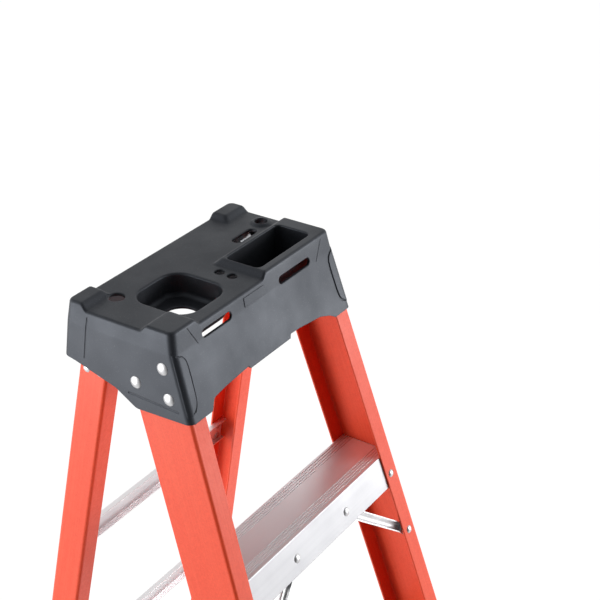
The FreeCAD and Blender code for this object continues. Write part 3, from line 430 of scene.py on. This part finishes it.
def zinc_plate(name):
    """Plated steel: cloudy crystals that differ in shade and shine."""
    material, tree, shader = new_material(name)
    place = add(tree, "ShaderNodeTexCoord").outputs["Object"]
    edge = use(tree, edge_group, {"Radius": 0.0005, "Breakup": 0.5})
    crystals = add(tree, "ShaderNodeTexVoronoi", {"Vector": place, "Scale": 260.0}, feature="SMOOTH_F1")
    cloud = noise(tree, place, 45.0, 4.0, 0.6)
    grey = spread(tree, crystals.outputs["Distance"], 0.1, 0.8)
    colour = mix_colour(tree, grey, (0.62, 0.65, 0.69, 1.0), (0.47, 0.49, 0.53, 1.0))
    colour = mix_colour(tree, spread(tree, cloud, 0.4, 0.7, 0.0, 0.5), colour, (0.70, 0.70, 0.67, 1.0))
    colour = mix_colour(tree, edge.outputs["Edge"], colour, (0.80, 0.81, 0.83, 1.0))
    rough = math_node(tree, "MULTIPLY_ADD", cloud, 0.25, 0.22)
    connect(tree, shader, Base_Color=colour, Roughness=rough, Normal=edge.outputs["Normal"], Metallic=1.0)
    return material


plated_steel = zinc_plate("zinc_plated_steel")
for side_name in ("left", "right"):
    for part in ("hinge_plate", "hinge_pin", "front_bracket", "rear_bracket", "front_link", "rear_link",
                 "front_pivot_rivet", "rear_pivot_rivet", "knee_rivet", "knee_cap"):
        dress(f"{side_name}_{part}", plated_steel)


# ---- shoes: moulded boots with ribbed rubber pads --------------------------------------------
# Each rail stands in a black moulded boot whose sole carries a softer rubber pad, scuffed and
# dusty where it meets the ground.
def make_grain_group():
    """Spark-eroded mould grain: small rounded pits and bumps of two sizes."""
    group, entry, leave = new_group(
        "mould_grain", [("Vector", "NodeSocketVector", None), ("Scale", "NodeSocketFloat", 900.0)],
        [("Height", "NodeSocketFloat"), ("Cloud", "NodeSocketFloat")])
    pits = add(group, "ShaderNodeTexVoronoi", {"Vector": entry.outputs["Vector"],
                                               "Scale": entry.outputs["Scale"]}, feature="SMOOTH_F1")
    swell = noise(group, entry.outputs["Vector"], 260.0, 3.0)
    cloud = noise(group, entry.outputs["Vector"], 14.0, 4.0, 0.55)
    group.links.new(math_node(group, "MULTIPLY_ADD", swell, 0.8, pits.outputs["Distance"]),
                    leave.inputs["Height"])
    group.links.new(spread(group, cloud, 0.35, 0.68), leave.inputs["Cloud"])
    return group


grain_group = make_grain_group()


def moulded(name, body_colour, rubbed_colour, roughness, grain_scale, grain_depth, edge_radius,
            sheen_tint=(1.0, 1.0, 1.0, 1.0)):
    """Grained plastic or rubber with paler rubbed edges and cloudy sheen."""
    material, tree, shader = new_material(name)
    place = add(tree, "ShaderNodeTexCoord").outputs["Object"]
    grain = use(tree, grain_group, {"Vector": place, "Scale": grain_scale})
    smudge = use(tree, handling_group, {"Vector": place, "Patch Scale": 9.0})
    edge = use(tree, edge_group, {"Radius": edge_radius, "Breakup": 0.7})
    cloud = math_node(tree, "MULTIPLY", grain.outputs["Cloud"], 0.22)
    edge_lightening = math_node(tree, "MULTIPLY", edge.outputs["Edge"], 0.6)
    dust = math_node(tree, "MULTIPLY", smudge.outputs["Specks"], 0.12)
    colour = mix_colour(tree, cloud, body_colour, rubbed_colour)
    colour = mix_colour(tree, edge_lightening, colour, rubbed_colour)
    colour = mix_colour(tree, dust, colour, (0.30, 0.29, 0.27, 1.0))
    rough = math_node(tree, "MULTIPLY_ADD", smudge.outputs["Smudge"], 0.14, roughness)
    bump = add(tree, "ShaderNodeBump", {"Strength": 0.35, "Distance": grain_depth,
                                        "Height": grain.outputs["Height"],
                                        "Normal": edge.outputs["Normal"]})
    connect(tree, shader, Base_Color=colour, Roughness=rough, Normal=bump.outputs[0], IOR=1.50,
            Specular_Tint=sheen_tint)
    return material


boot_plastic = moulded("boot_plastic", (0.017, 0.017, 0.018, 1.0), (0.07, 0.07, 0.07, 1.0), 0.42,
                       700.0, 0.00018, 0.0010)
pad_rubber = moulded("pad_rubber", (0.020, 0.019, 0.018, 1.0), (0.10, 0.095, 0.09, 1.0), 0.72,
                     500.0, 0.00025, 0.0008)
for side_name in ("left", "right"):
    for end in ("front", "rear"):
        dress(f"{side_name}_{end}_shoe", boot_plastic)
        dress(f"{side_name}_{end}_pad", pad_rubber)


# ---- cap: one large injection moulding -------------------------------------------------------
# The cap is moulded in dark grey polypropylene: an upright band over a flared skirt, a tool
# deck between raised blocks, and a bin, a drill well and holes for hand tools.  Sizes are in mm.
pin_y, pin_z = (value * 1000.0 for value in frame["joints"][0]["pos_m"][1:])
cap_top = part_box("top_cap")[1].z * 1000.0
behind_pin, cap_depth = 22.6, 154.6
cap_back = pin_y + behind_pin
cap_front = cap_back - cap_depth
rail_half, cap_proud, cap_wall = 166.8, 4.0, 3.2
band, skirt, deck_drop, deck_wall = 28.0, 115.0, 8.0, 4.0
band_lean_end, band_lean_front, back_lean = 0.16, 0.17, 0.105
corner, rim = 9.5, 3.6


def soft_above(value, limit, blend=1.6):
    """How far value is above limit, at least 0: half of the excess plus its softened size."""
    over = value - limit
    return 0.5 * (over + np.sqrt(over * over + blend * blend))


def end_x(drop):
    """Half width of the cap at a drop below its top: the skirt flares, the band leans in."""
    flare = front_splay * (band + soft_above(drop, band))
    return rail_half + cap_proud + flare - band_lean_end * soft_above(-drop, -band)


def front_face(drop):
    """Y of the front wall: parallel to the rails below the band, steeper on the band."""
    flare = math.tan(front_lean) * (band + soft_above(drop, band))
    proud = cap_proud / math.cos(front_lean)
    return cap_front - proud - flare + band_lean_front * soft_above(-drop, -band)


def back_face(drop):
    """Y of the back wall, which leans out evenly."""
    return cap_back + back_lean * drop


def ramp(distance, height, slope=1.0, soften=1.4):
    """Slope that starts at distance 0 and stops at height, with both bends rounded."""
    shifts = np.linspace(-soften, soften, 7)
    return np.mean([np.clip((distance + shift) * slope, 0.0, height) for shift in shifts], axis=0)


def soft_min(first, second, blend=5.0):
    """Smaller of two distances, rounded where they meet."""
    share = np.clip(0.5 + 0.5 * (second - first) / blend, 0.0, 1.0)
    return second * (1.0 - share) + first * share - blend * share * (1.0 - share)


block_x, block_back = 14.0, 70.0
pad_x, pad_back = 116.0, 40.0
housing_x, housing_back = 119.0, 124.0
collar_x, collar_back, collar_radius, collar_bore, collar_rise = 148.0, 88.0, 14.0, 9.0, 3.0


def top_drop(x, back):
    """Drop of the upper surface: the deck, less the raised block, pad, housings and collar."""
    block = soft_min(x - block_x, block_back - back)
    pad = soft_min(-pad_x - x, pad_back - back)
    housings = soft_min(np.abs(x) - housing_x, back - housing_back)
    raised = np.maximum.reduce([ramp(block, deck_drop), ramp(pad, deck_drop), ramp(housings, deck_drop)])
    ring = ramp(collar_radius - np.hypot(x - collar_x, back - collar_back), collar_rise, 1.6, 0.8)
    return deck_drop - np.maximum(raised, ring)


def spaced(marks, step):
    """Numbers from the first mark to the last, through every mark, at most step apart."""
    runs = [np.linspace(low, high, max(1, math.ceil((high - low) / step)) + 1)[:-1]
            for low, high in zip(marks, marks[1:])]
    return np.append(np.concatenate(runs), marks[-1])


def with_corners(lines, count=6):
    """Grid lines with corner cells at both ends: (position, share of the corner's radius)."""
    share = np.linspace(0.0, 1.0, count + 1)[1:]
    place = np.concatenate([np.full(count, lines[0]), lines, np.full(count, lines[-1])])
    return place, np.concatenate([-share[::-1], np.zeros(len(lines)), share])


def new_mesh(name, points, faces):
    """Mesh from points in millimetres."""
    mesh = bpy.data.meshes.new(name)
    mesh.from_pydata((np.asarray(points) * 0.001).tolist(), [], [list(face) for face in faces])
    return mesh


def new_piece(name, mesh):
    """Object in the scene that shows a mesh."""
    piece = bpy.data.objects.new(name, mesh)
    bpy.context.scene.collection.objects.link(piece)
    return piece


def grid_faces(rows, columns, closed=False, start=0):
    """Quads of a grid stored row by row from start; closed joins the last column to the first."""
    columns_used = np.arange(columns if closed else columns - 1)
    row, column = np.meshgrid(np.arange(rows - 1), columns_used, indexing="ij")
    after = (column + 1) % columns
    quads = np.stack([row * columns + column, row * columns + after, (row + 1) * columns + after,
                      (row + 1) * columns + column], -1)
    return (quads.reshape(-1, 4) + start).tolist()


def grid_border(first_count, second_count):
    """Both indices of a grid's border points, once round, starting along the first index."""
    first, second = np.arange(first_count), np.arange(second_count)
    along_first = [first[:-1], np.full(second_count - 1, first_count - 1), first[:0:-1],
                   np.zeros(second_count - 1, int)]
    along_second = [np.zeros(first_count - 1, int), second[:-1],
                    np.full(first_count - 1, second_count - 1), second[:0:-1]]
    return np.concatenate(along_first), np.concatenate(along_second)


def cap_form():
    """Outer form of the cap, closed below: a grid over the top, and rings from its edge down.

    A grid point is a place on the inner rectangle plus a share of the corner's radius; a pair
    of shares (a, b) in a corner cell is pushed out to max(|a|, |b|) of a quarter circle.
    """
    half0, low0, high0 = end_x(0.0) - corner, front_face(0.0) + corner, back_face(0.0) - corner
    x_marks = [-half0, -pad_x - 10, -pad_x + 3, block_x - 3, block_x + 11, housing_x - 3, housing_x + 11,
               half0]
    backs = [pad_back - 10, pad_back + 3, block_back - 10, block_back + 3, housing_back - 3,
             housing_back + 10]
    xs, a = with_corners(spaced(x_marks, 2.4))
    ys, b = with_corners(spaced([low0] + [cap_front + back for back in backs] + [high0], 2.4))
    x0, y0 = np.meshgrid(xs, ys, indexing="ij")
    a, b = np.meshgrid(a, b, indexing="ij")
    length = np.maximum(np.hypot(a, b), 1e-9)
    reach = np.maximum(np.abs(a), np.abs(b)) / length
    out_x, out_y = a * reach, b * reach

    def placed(pick, drop, radius):
        half = end_x(drop) - corner
        low, high = front_face(drop) + corner, back_face(drop) - corner
        x = x0[pick] * half / half0 + out_x[pick] * radius
        y = low + (y0[pick] - low0) / (high0 - low0) * (high - low) + out_y[pick] * radius
        return np.stack([x, y, cap_top - drop], -1)

    everywhere = (slice(None), slice(None))
    drop = top_drop(x0 + out_x * (corner - rim), y0 + out_y * (corner - rim) - cap_front)
    top = placed(everywhere, drop, corner - rim)
    columns, rows = drop.shape
    edge = grid_border(columns, rows)
    edge_drop = drop[edge]
    rings = []
    for angle in np.radians(np.linspace(90, 0, 7))[1:]:
        inset = rim * (1 - math.cos(angle))
        rings.append(placed(edge, edge_drop + rim * (1 - math.sin(angle)), corner - inset))
    for share in np.linspace(0, 1, 6)[1:]:
        rings.append(placed(edge, edge_drop + rim + (band - 2 - edge_drop - rim) * share, corner))
    for depth in np.concatenate([[26.8, 27.6, 28.4, 29.2, 30.0], spaced([31.5, skirt + 14], 4.0)]):
        rings.append(placed(edge, np.full(len(edge_drop), depth), corner))
    count = len(edge_drop)
    start = drop.size
    quads = [face[::-1] for face in grid_faces(columns, rows)]
    here, ring = edge[0] * rows + edge[1], np.arange(start, start + count)
    quads += np.stack([np.roll(here, -1), here, ring, np.roll(ring, -1)], -1).tolist()
    quads += [face[::-1] for face in grid_faces(len(rings), count, closed=True, start=start)]
    last = start + (len(rings) - 1) * count
    quads.append(list(range(last, last + count))[::-1])
    return new_mesh("cap", np.concatenate([top.reshape(-1, 3)] + rings), quads)


def rounded(points, radii, step=0.9):
    """Closed outline through the corner points, each corner an arc of its radius."""
    points = np.asarray(points, float)
    found = []
    for i, here in enumerate(points):
        to_last, to_next = points[i - 1] - here, points[(i + 1) % len(points)] - here
        to_last, to_next = to_last / np.linalg.norm(to_last), to_next / np.linalg.norm(to_next)
        radius = radii[i] if hasattr(radii, "__len__") else radii
        half = math.acos(float(np.clip(to_last @ to_next, -1, 1))) / 2
        if radius <= 0 or half > math.radians(89.5):
            found.append(here[None])
            continue
        start, end = here + to_last * radius / math.tan(half), here + to_next * radius / math.tan(half)
        centre = here + (to_last + to_next) / np.linalg.norm(to_last + to_next) * radius / math.sin(half)
        count = max(3, math.ceil(radius * (math.pi - 2 * half) / step))
        share = np.linspace(0, 1, count + 1)[:, None]
        turn = math.pi - 2 * half
        arc = (np.sin((1 - share) * turn) * (start - centre) + np.sin(share * turn) * (end - centre))
        found.append(centre + arc / math.sin(turn))
    return np.concatenate(found)


def rectangle(x0, x1, y0, y1, radius):
    """Outline of a rectangle with rounded corners."""
    return rounded([(x0, y0), (x1, y0), (x1, y1), (x0, y1)], radius)


def circle(x, y, radius, count=48):
    """Outline of a circle: points at equal turns."""
    turn = np.linspace(0, 2 * np.pi, count + 1)[:-1]
    return np.stack([x + radius * np.cos(turn), y + radius * np.sin(turn)], -1)


def grown(outline, amount):
    """Outline moved outwards by amount along the mean normal of the two sides at each point."""
    ahead, behind = np.roll(outline, -1, 0) - outline, outline - np.roll(outline, 1, 0)
    normals = []
    for side in (ahead, behind):
        side = side / np.maximum(np.linalg.norm(side, axis=1, keepdims=True), 1e-9)
        normals.append(np.stack([side[:, 1], -side[:, 0]], -1))
    mean = normals[0] + normals[1]
    mean = mean / np.maximum((mean * mean).sum(1, keepdims=True), 1e-9) * 2
    return outline + mean * amount


def stacked(name, rings):
    """Closed solid through rings of as many points each, with a flat face on the first and last."""
    count = len(rings[0])
    faces = grid_faces(len(rings), count, closed=True)
    faces.append(list(range(count))[::-1])
    faces.append(list(range((len(rings) - 1) * count, len(rings) * count)))
    return new_mesh(name, np.concatenate(rings), faces)


def prism(name, outline, levels, place):
    """Closed solid: the outline grown and placed at each (height, growth) level, lowest first."""
    return stacked(name, [place(grown(outline, growth), height) for height, growth in levels])


def upright(outline, height):
    """Plan outline (x, back) at a height above the cap's top."""
    level = np.full(len(outline), cap_top + height)
    return np.stack([outline[:, 0], outline[:, 1] + cap_front, level], -1)


def quarter(radius, count=5):
    """Sines and cosines of a quarter turn, for a rounded bottom or lip."""
    turn = np.linspace(0, math.pi / 2, count + 1)
    return radius * np.sin(turn), radius * np.cos(turn)


def pocket_levels(surface_drop, depth, floor_radius, lip_radius):
    """Levels of a pocket cutter from its rounded floor up past its rounded lip."""
    levels = []
    sine, cosine = quarter(floor_radius)
    levels += [(-depth + floor_radius - c, s - floor_radius) for s, c in zip(sine, cosine)] \
        if floor_radius else [(-depth, 0.0)]
    sine, cosine = quarter(lip_radius)
    levels += [(-surface_drop - lip_radius + s, lip_radius - c) for s, c in zip(sine, cosine)]
    levels.append((12.0, lip_radius))
    return levels


def joined(name, meshes):
    """One mesh that holds several, each still closed by itself."""
    points, faces, start = [], [], 0
    for mesh in meshes:
        coordinates = np.empty(len(mesh.vertices) * 3)
        mesh.vertices.foreach_get("co", coordinates)
        points.append(coordinates.reshape(-1, 3) * 1000.0)
        faces += [[index + start for index in face.vertices] for face in mesh.polygons]
        start += len(mesh.vertices)
    return new_mesh(name, np.concatenate(points), faces)


def carve(piece, operation, mesh):
    """Boolean of the piece with a closed mesh, kept as the piece's own mesh."""
    tool = new_piece("tool", mesh)
    step = piece.modifiers.new("carve", "BOOLEAN")
    step.operation, step.solver, step.object = operation, "EXACT", tool
    keep_modifiers(piece)
    bpy.data.objects.remove(tool)


def keep_modifiers(piece):
    """Makes what the modifiers show the piece's own mesh."""
    graph = bpy.context.evaluated_depsgraph_get()
    made = bpy.data.meshes.new_from_object(piece.evaluated_get(graph))
    piece.modifiers.clear()
    piece.data = made


bin_x0, bin_x1, bin_y0, bin_y1, bin_depth, bin_corner = 25.0, 143.0, 4.5, 58.0, 50.0, 8.0
well_x, well_back, well_half, well_depth, well_corner, well_hole = -70.0, 57.5, 45.0, 40.0, 26.0, 23.0
driver_holes, driver_radius = ((2.0, 29.0), (2.0, 49.0)), 7.0
handle_x, handle_back, handle_radius = -121.0, 116.0, 10.5
pliers, pliers_corner = (81.0, 127.0, 77.0, 91.0), 6.8
slots, slot_height, slot_drop = ((-116.0, -57.0), (46.0, 116.0)), 10.5, 23.5
lug_radius, lug_reach, lug_gap = 12.0, 9.0, 1.2
rear_half, rear_wall, hinge_plate = 165.9, 3.2, 3.0
hollow_corner, past_lowest = 5.3, 70.0


def on_front(outline, height):
    """Outline (x, drop) set on the front wall and moved out along y by height."""
    x, drop = outline[:, 0], outline[:, 1]
    return np.stack([x, front_face(drop) - height, cap_top - drop], -1)


def across(outline, x):
    """Outline (back, drop) in the plane at x."""
    return np.stack([np.full(len(outline), x), outline[:, 0] + cap_front, cap_top - outline[:, 1]], -1)


def hollow_section(drop):
    """Inside of the walls at a drop: the outer faces moved in by the wall."""
    x = end_x(drop) - cap_wall
    front, back = front_face(drop) + cap_wall - cap_front, back_face(drop) - cap_wall - cap_front
    return upright(rectangle(-x, x, front, back, hollow_corner), -drop)


def walled(name, outline, depth, chamfer):
    """Outside of a pocket under the deck, with its lower edge chamfered."""
    floor = -depth - cap_wall
    return prism(name, outline, [(floor, -chamfer), (floor + chamfer, 0.0), (0.0, 0.0)], upright)


def cap_hollow():
    """Space under the deck, less the bin, the well, two ribs and the hinge lugs."""
    drops = (skirt + 40, 36.0, band, 20.0, deck_drop + deck_wall)
    space = new_piece("cap_space", stacked("cap_space", [hollow_section(drop) for drop in drops]))
    w, reach = cap_wall, well_half + cap_wall
    boxes = [walled("bin_box", rectangle(bin_x0 - w, bin_x1 + w, bin_y0 - w, bin_y1 + w, bin_corner + w),
                    bin_depth, 2.0),
             walled("well_box", rectangle(well_x - reach, well_x + reach, well_back - reach,
                                          well_back + reach, well_corner + w), well_depth, 3.0)]
    lug_back, lug_low = pin_y - cap_front, cap_top - pin_z + lug_radius
    before, behind = lug_back - lug_radius, lug_back + lug_radius
    lug = rounded([(before, 0.0), (behind, 0.0), (behind, lug_low), (before, lug_low)],
                  [0, 0, lug_radius * 0.97, lug_radius * 0.97])
    plate_outer = rear_half + rear_splay * (cap_top - pin_z) - rear_wall
    lug_inner = plate_outer - hinge_plate - lug_gap
    for side in (-1, 1):
        for x0, x1 in ((lug_inner - lug_reach, lug_inner), (plate_outer + lug_gap, 180.0)):
            ends = sorted((side * x0, side * x1))
            boxes.append(prism("lug", lug, [(ends[0], 0.0), (ends[1], 0.0)], across))
    for x in (-18.0, 12.0):
        boxes.append(prism("rib", np.array([(-30.0, 0.0), (190.0, 0.0), (190.0, 40.0), (-30.0, 40.0)]),
                           [(x, 0.0), (x + 2.4, 0.0)], across))
    for box in boxes:
        carve(space, "DIFFERENCE", facing_out(box))
    return space


def facing_out(mesh):
    """Turns a closed mesh's faces outwards: the sum of centre . normal . area is then positive."""
    count = len(mesh.polygons)
    centre, normal, area = np.empty(count * 3), np.empty(count * 3), np.empty(count)
    mesh.polygons.foreach_get("center", centre)
    mesh.polygons.foreach_get("normal", normal)
    mesh.polygons.foreach_get("area", area)
    if ((centre * normal).reshape(-1, 3).sum(1) * area).sum() < 0:
        mesh.flip_normals()
    return mesh


def cap_openings():
    """Cutters for the bin, the well and every hole, none of which overlaps another."""
    cutters = [prism("bin", rectangle(bin_x0, bin_x1, bin_y0, bin_y1, bin_corner),
                     pocket_levels(0.0, bin_depth, 4.0, 2.0), upright),
               prism("well", rectangle(well_x - well_half, well_x + well_half, well_back - well_half,
                                       well_back + well_half, well_corner),
                     pocket_levels(deck_drop, well_depth, 7.0, 3.0), upright)]
    for x, back in driver_holes:
        cutters.append(prism("driver", circle(x, back, driver_radius),
                             pocket_levels(deck_drop, past_lowest, 0.0, 1.2), upright))
    cutters.append(prism("handle", circle(handle_x, handle_back, handle_radius),
                         pocket_levels(deck_drop, past_lowest, 0.0, 1.6), upright))
    cutters.append(prism("collar", circle(collar_x, collar_back, collar_bore),
                         pocket_levels(deck_drop - collar_rise, past_lowest, 0.0, 1.0), upright))
    cutters.append(prism("pliers", rectangle(*pliers, pliers_corner),
                         pocket_levels(deck_drop, past_lowest, 0.0, 1.6), upright))
    half = slot_height / 2
    slot_levels = [(-8.0, 0.0), (-0.9, 0.0), (-0.3, 0.25), (0.0, 0.8), (3.0, 3.5)]
    for x0, x1 in slots:
        outline = rectangle(x0, x1, slot_drop - half, slot_drop + half, half * 0.98)
        cutters.append(prism("slot", outline, slot_levels, on_front))
    return [facing_out(cutter) for cutter in cutters]


def cap_trims():
    """Everything below the wavy lower edge, cut once across the ends and once through the front."""
    ends = [(-60, 112), (-35, 112), (46, 115), (78, 97), (142, 80), (164, 76), (170, 68), (260, 68),
            (260, 200), (-60, 200)]
    end_outline = rounded(ends, [0, 0, 14, 20, 14, 6, 6, 0, 0, 0], 2.0)
    end_trim = prism("end_trim", end_outline, [(-300.0, 0.0), (300.0, 0.0)], across)
    front = [(-300, 114), (-137, 114), (-127, 99), (-102, 96), (-52, 93), (-50, 97), (38, 97), (41, 92),
             (62, 93), (108, 98), (128, 105), (143, 114), (300, 114), (300, 200), (-300, 200)]
    front_outline = rounded(front, [0, 7, 7, 6, 0.9, 0.9, 0.9, 0.9, 6, 8, 8, 7, 0, 0, 0], 2.0)
    front_trim = prism("front_trim", front_outline, [(cap_front - 90.0, 0.0), (cap_front + 15.0, 0.0)],
                       lambda outline, y: np.stack([outline[:, 0], np.full(len(outline), y),
                                                    cap_top - outline[:, 1]], -1))
    return [facing_out(end_trim), facing_out(front_trim)]


def wall_y(x, drop):
    """Y of the front wall, rounding back at its corners."""
    past = np.clip(np.abs(x) - (end_x(drop) - corner), 0.0, corner)
    return front_face(drop) + corner - np.sqrt(np.maximum(corner * corner - past * past, 0.0))


def corner_panel(side, drop0, drop1, edge_top, edge_low, rise):
    """Raised panel beside a corner of the front wall.

    Its inner edge is edge(drop) plus the rest of the way to the corner times the eighth power
    of the distance from its middle, so the panel's ends are round.
    """
    middle, reach = (drop0 + drop1) / 2, (drop1 - drop0) / 2
    drops = middle + reach * np.sin(np.linspace(-0.5, 0.5, 61) * math.pi)
    share = (drops - middle) / reach
    outer = end_x(drops) - 1.2
    edge = np.interp(drops, [drop0, drop1], [edge_top, edge_low])
    edge = edge + (outer - 3.0 - edge) * np.abs(share) ** 8
    steps = np.array([0.0, 0.25, 0.6, 1.0, 1.5, 2.2])
    lift = rise * np.sin(np.clip(steps / 1.5, 0, 1) * math.pi / 2)
    inner = edge[:, None] + steps
    far = edge[:, None] + 2.2 + (outer - edge - 2.2)[:, None] * np.linspace(0, 1, 16)[1:]
    x = np.concatenate([inner, far], 1)
    height = np.concatenate([lift, np.full(15, rise)]) * np.ones_like(x)
    drop = drops[:, None] * np.ones_like(x)
    surface = np.stack([side * x, wall_y(x, drop) - height, cap_top - drop], -1)
    buried = np.stack([side * x, wall_y(x, drop) + 1.6, cap_top - drop], -1)
    rows, columns = x.shape
    points = np.concatenate([surface.reshape(-1, 3), buried.reshape(-1, 3)])
    total = rows * columns
    faces = grid_faces(rows, columns) + [face[::-1] for face in grid_faces(rows, columns, start=total)]
    across_index, down_index = grid_border(columns, rows)
    here = down_index * columns + across_index
    after = np.roll(here, -1)
    faces += np.stack([here, here + total, after + total, after], -1).tolist()
    return facing_out(new_mesh("panel", points, faces))


def tube(path, radius, sides=10):
    """Closed round bar along a path: rings square to it, with rounded ends."""
    path = np.asarray(path, float)
    tangent = np.gradient(path, axis=0)
    tangent /= np.linalg.norm(tangent, axis=1, keepdims=True)
    side = np.cross(tangent, np.array([0.31, 0.67, -0.68]))
    side /= np.linalg.norm(side, axis=1, keepdims=True)
    other = np.cross(tangent, side)
    scale = np.ones(len(path))
    scale[[0, -1]] = 0.35
    turn = np.linspace(0, 2 * np.pi, sides + 1)[:-1]
    ring = side[:, None] * np.cos(turn)[:, None] + other[:, None] * np.sin(turn)[:, None]
    points = path[:, None] + ring * radius * scale[:, None, None]
    return facing_out(stacked("tube", points))


def through(marks, step=1.5):
    """Points at most step apart along straight runs, with their corners relaxed."""
    marks = np.asarray(marks, float)
    runs = []
    for low, high in zip(marks, marks[1:]):
        count = max(2, math.ceil(np.linalg.norm(high - low) / step))
        runs.append(low + (high - low) * np.linspace(0, 1, count)[:-1, None])
    path = np.concatenate(runs + [marks[-1:]])
    for _ in range(12):
        path[1:-1] = (path[:-2] + path[2:] + 2 * path[1:-1]) / 4
    return path


def front_line(marks, lift):
    """Path over the front wall through (x, drop) marks, standing off by lift."""
    path = through(marks)
    return np.stack([path[:, 0], wall_y(path[:, 0], path[:, 1]) - lift, cap_top - path[:, 1]], -1)


def end_line(side, marks, lift):
    """Path over an end wall through (back, drop) marks."""
    path = through(marks)
    return np.stack([side * (end_x(path[:, 1]) + lift), path[:, 0] + cap_front, cap_top - path[:, 1]], -1)


def raised_work():
    """Corner panels on both sides of the front, and the flat pad between the hand slots."""
    pad = prism("pad", rectangle(-30.0, 13.0, 14.0, 26.6, 1.5), [(-2.0, 0.0), (0.45, 0.0), (0.8, -0.35)],
                on_front)
    return [corner_panel(side, 27.0, 103.0, 153.4, 157.0, 0.9) for side in (-1, 1)] + [facing_out(pad)]


def seam_lines():
    """Bars that cut the fine grooves: along the ends, down the band, and round the corner panels."""
    border = np.array([(168.5, 28.5), (160.0, 30.5), (154.2, 38.0), (153.8, 53.0), (155.2, 69.0),
                       (156.6, 86.0), (159.5, 95.0), (168.5, 100.5)])
    seams = [tube(end_line(side, [(-21.0, 99.4), (59.0, 96.7)], 1.3), 2.2) for side in (-1, 1)]
    seams += [tube(front_line([(-141.0, 3.6), (-126.0, 30.6)], 0.25), 0.75),
              tube(front_line([(147.0, 5.0), (129.0, 31.5)], 0.25), 0.75)]
    seams += [tube(front_line(border * (side, 1.0), 0.5), 1.15) for side in (-1, 1)]
    return seams + [tube(end_line(side, [(121.0, 14.0), (127.5, 74.0)], 0.9), 1.5) for side in (-1, 1)]


def build_cap():
    """Outer form with its raised work, less the grooves, the hollow, the openings and the trims."""
    cap = new_piece("moulded_cap", cap_form())
    facing_out(cap.data)
    carve(cap, "UNION", joined("raised", raised_work()))
    carve(cap, "DIFFERENCE", joined("seams", seam_lines()))
    space = cap_hollow()
    carve(cap, "DIFFERENCE", space.data.copy())
    bpy.data.objects.remove(space)
    carve(cap, "DIFFERENCE", joined("openings", cap_openings()))
    carve(cap, "DIFFERENCE", facing_out(prism("well_hole", circle(well_x, well_back, well_hole),
                                              pocket_levels(well_depth, 90.0, 0.0, 2.0), upright)))
    for trim in cap_trims():
        carve(cap, "DIFFERENCE", trim)
    cap.data.validate()
    cap.data.shade_smooth()
    cap.data.set_sharp_from_angle(angle=math.radians(34))
    cap.modifiers.new("even_shading", "WEIGHTED_NORMAL").keep_sharp = True
    keep_modifiers(cap)
    return cap


cap = build_cap()
cap_plastic = moulded("cap_polypropylene", (0.0150, 0.0165, 0.0205, 1.0), (0.050, 0.053, 0.060, 1.0),
                      0.42, 1100.0, 0.00012, 0.0009, (0.80, 0.87, 1.0, 1.0))
cap.data.materials.clear()
cap.data.materials.append(cap_plastic)
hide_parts("top_cap")
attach(cap, "front_frame")
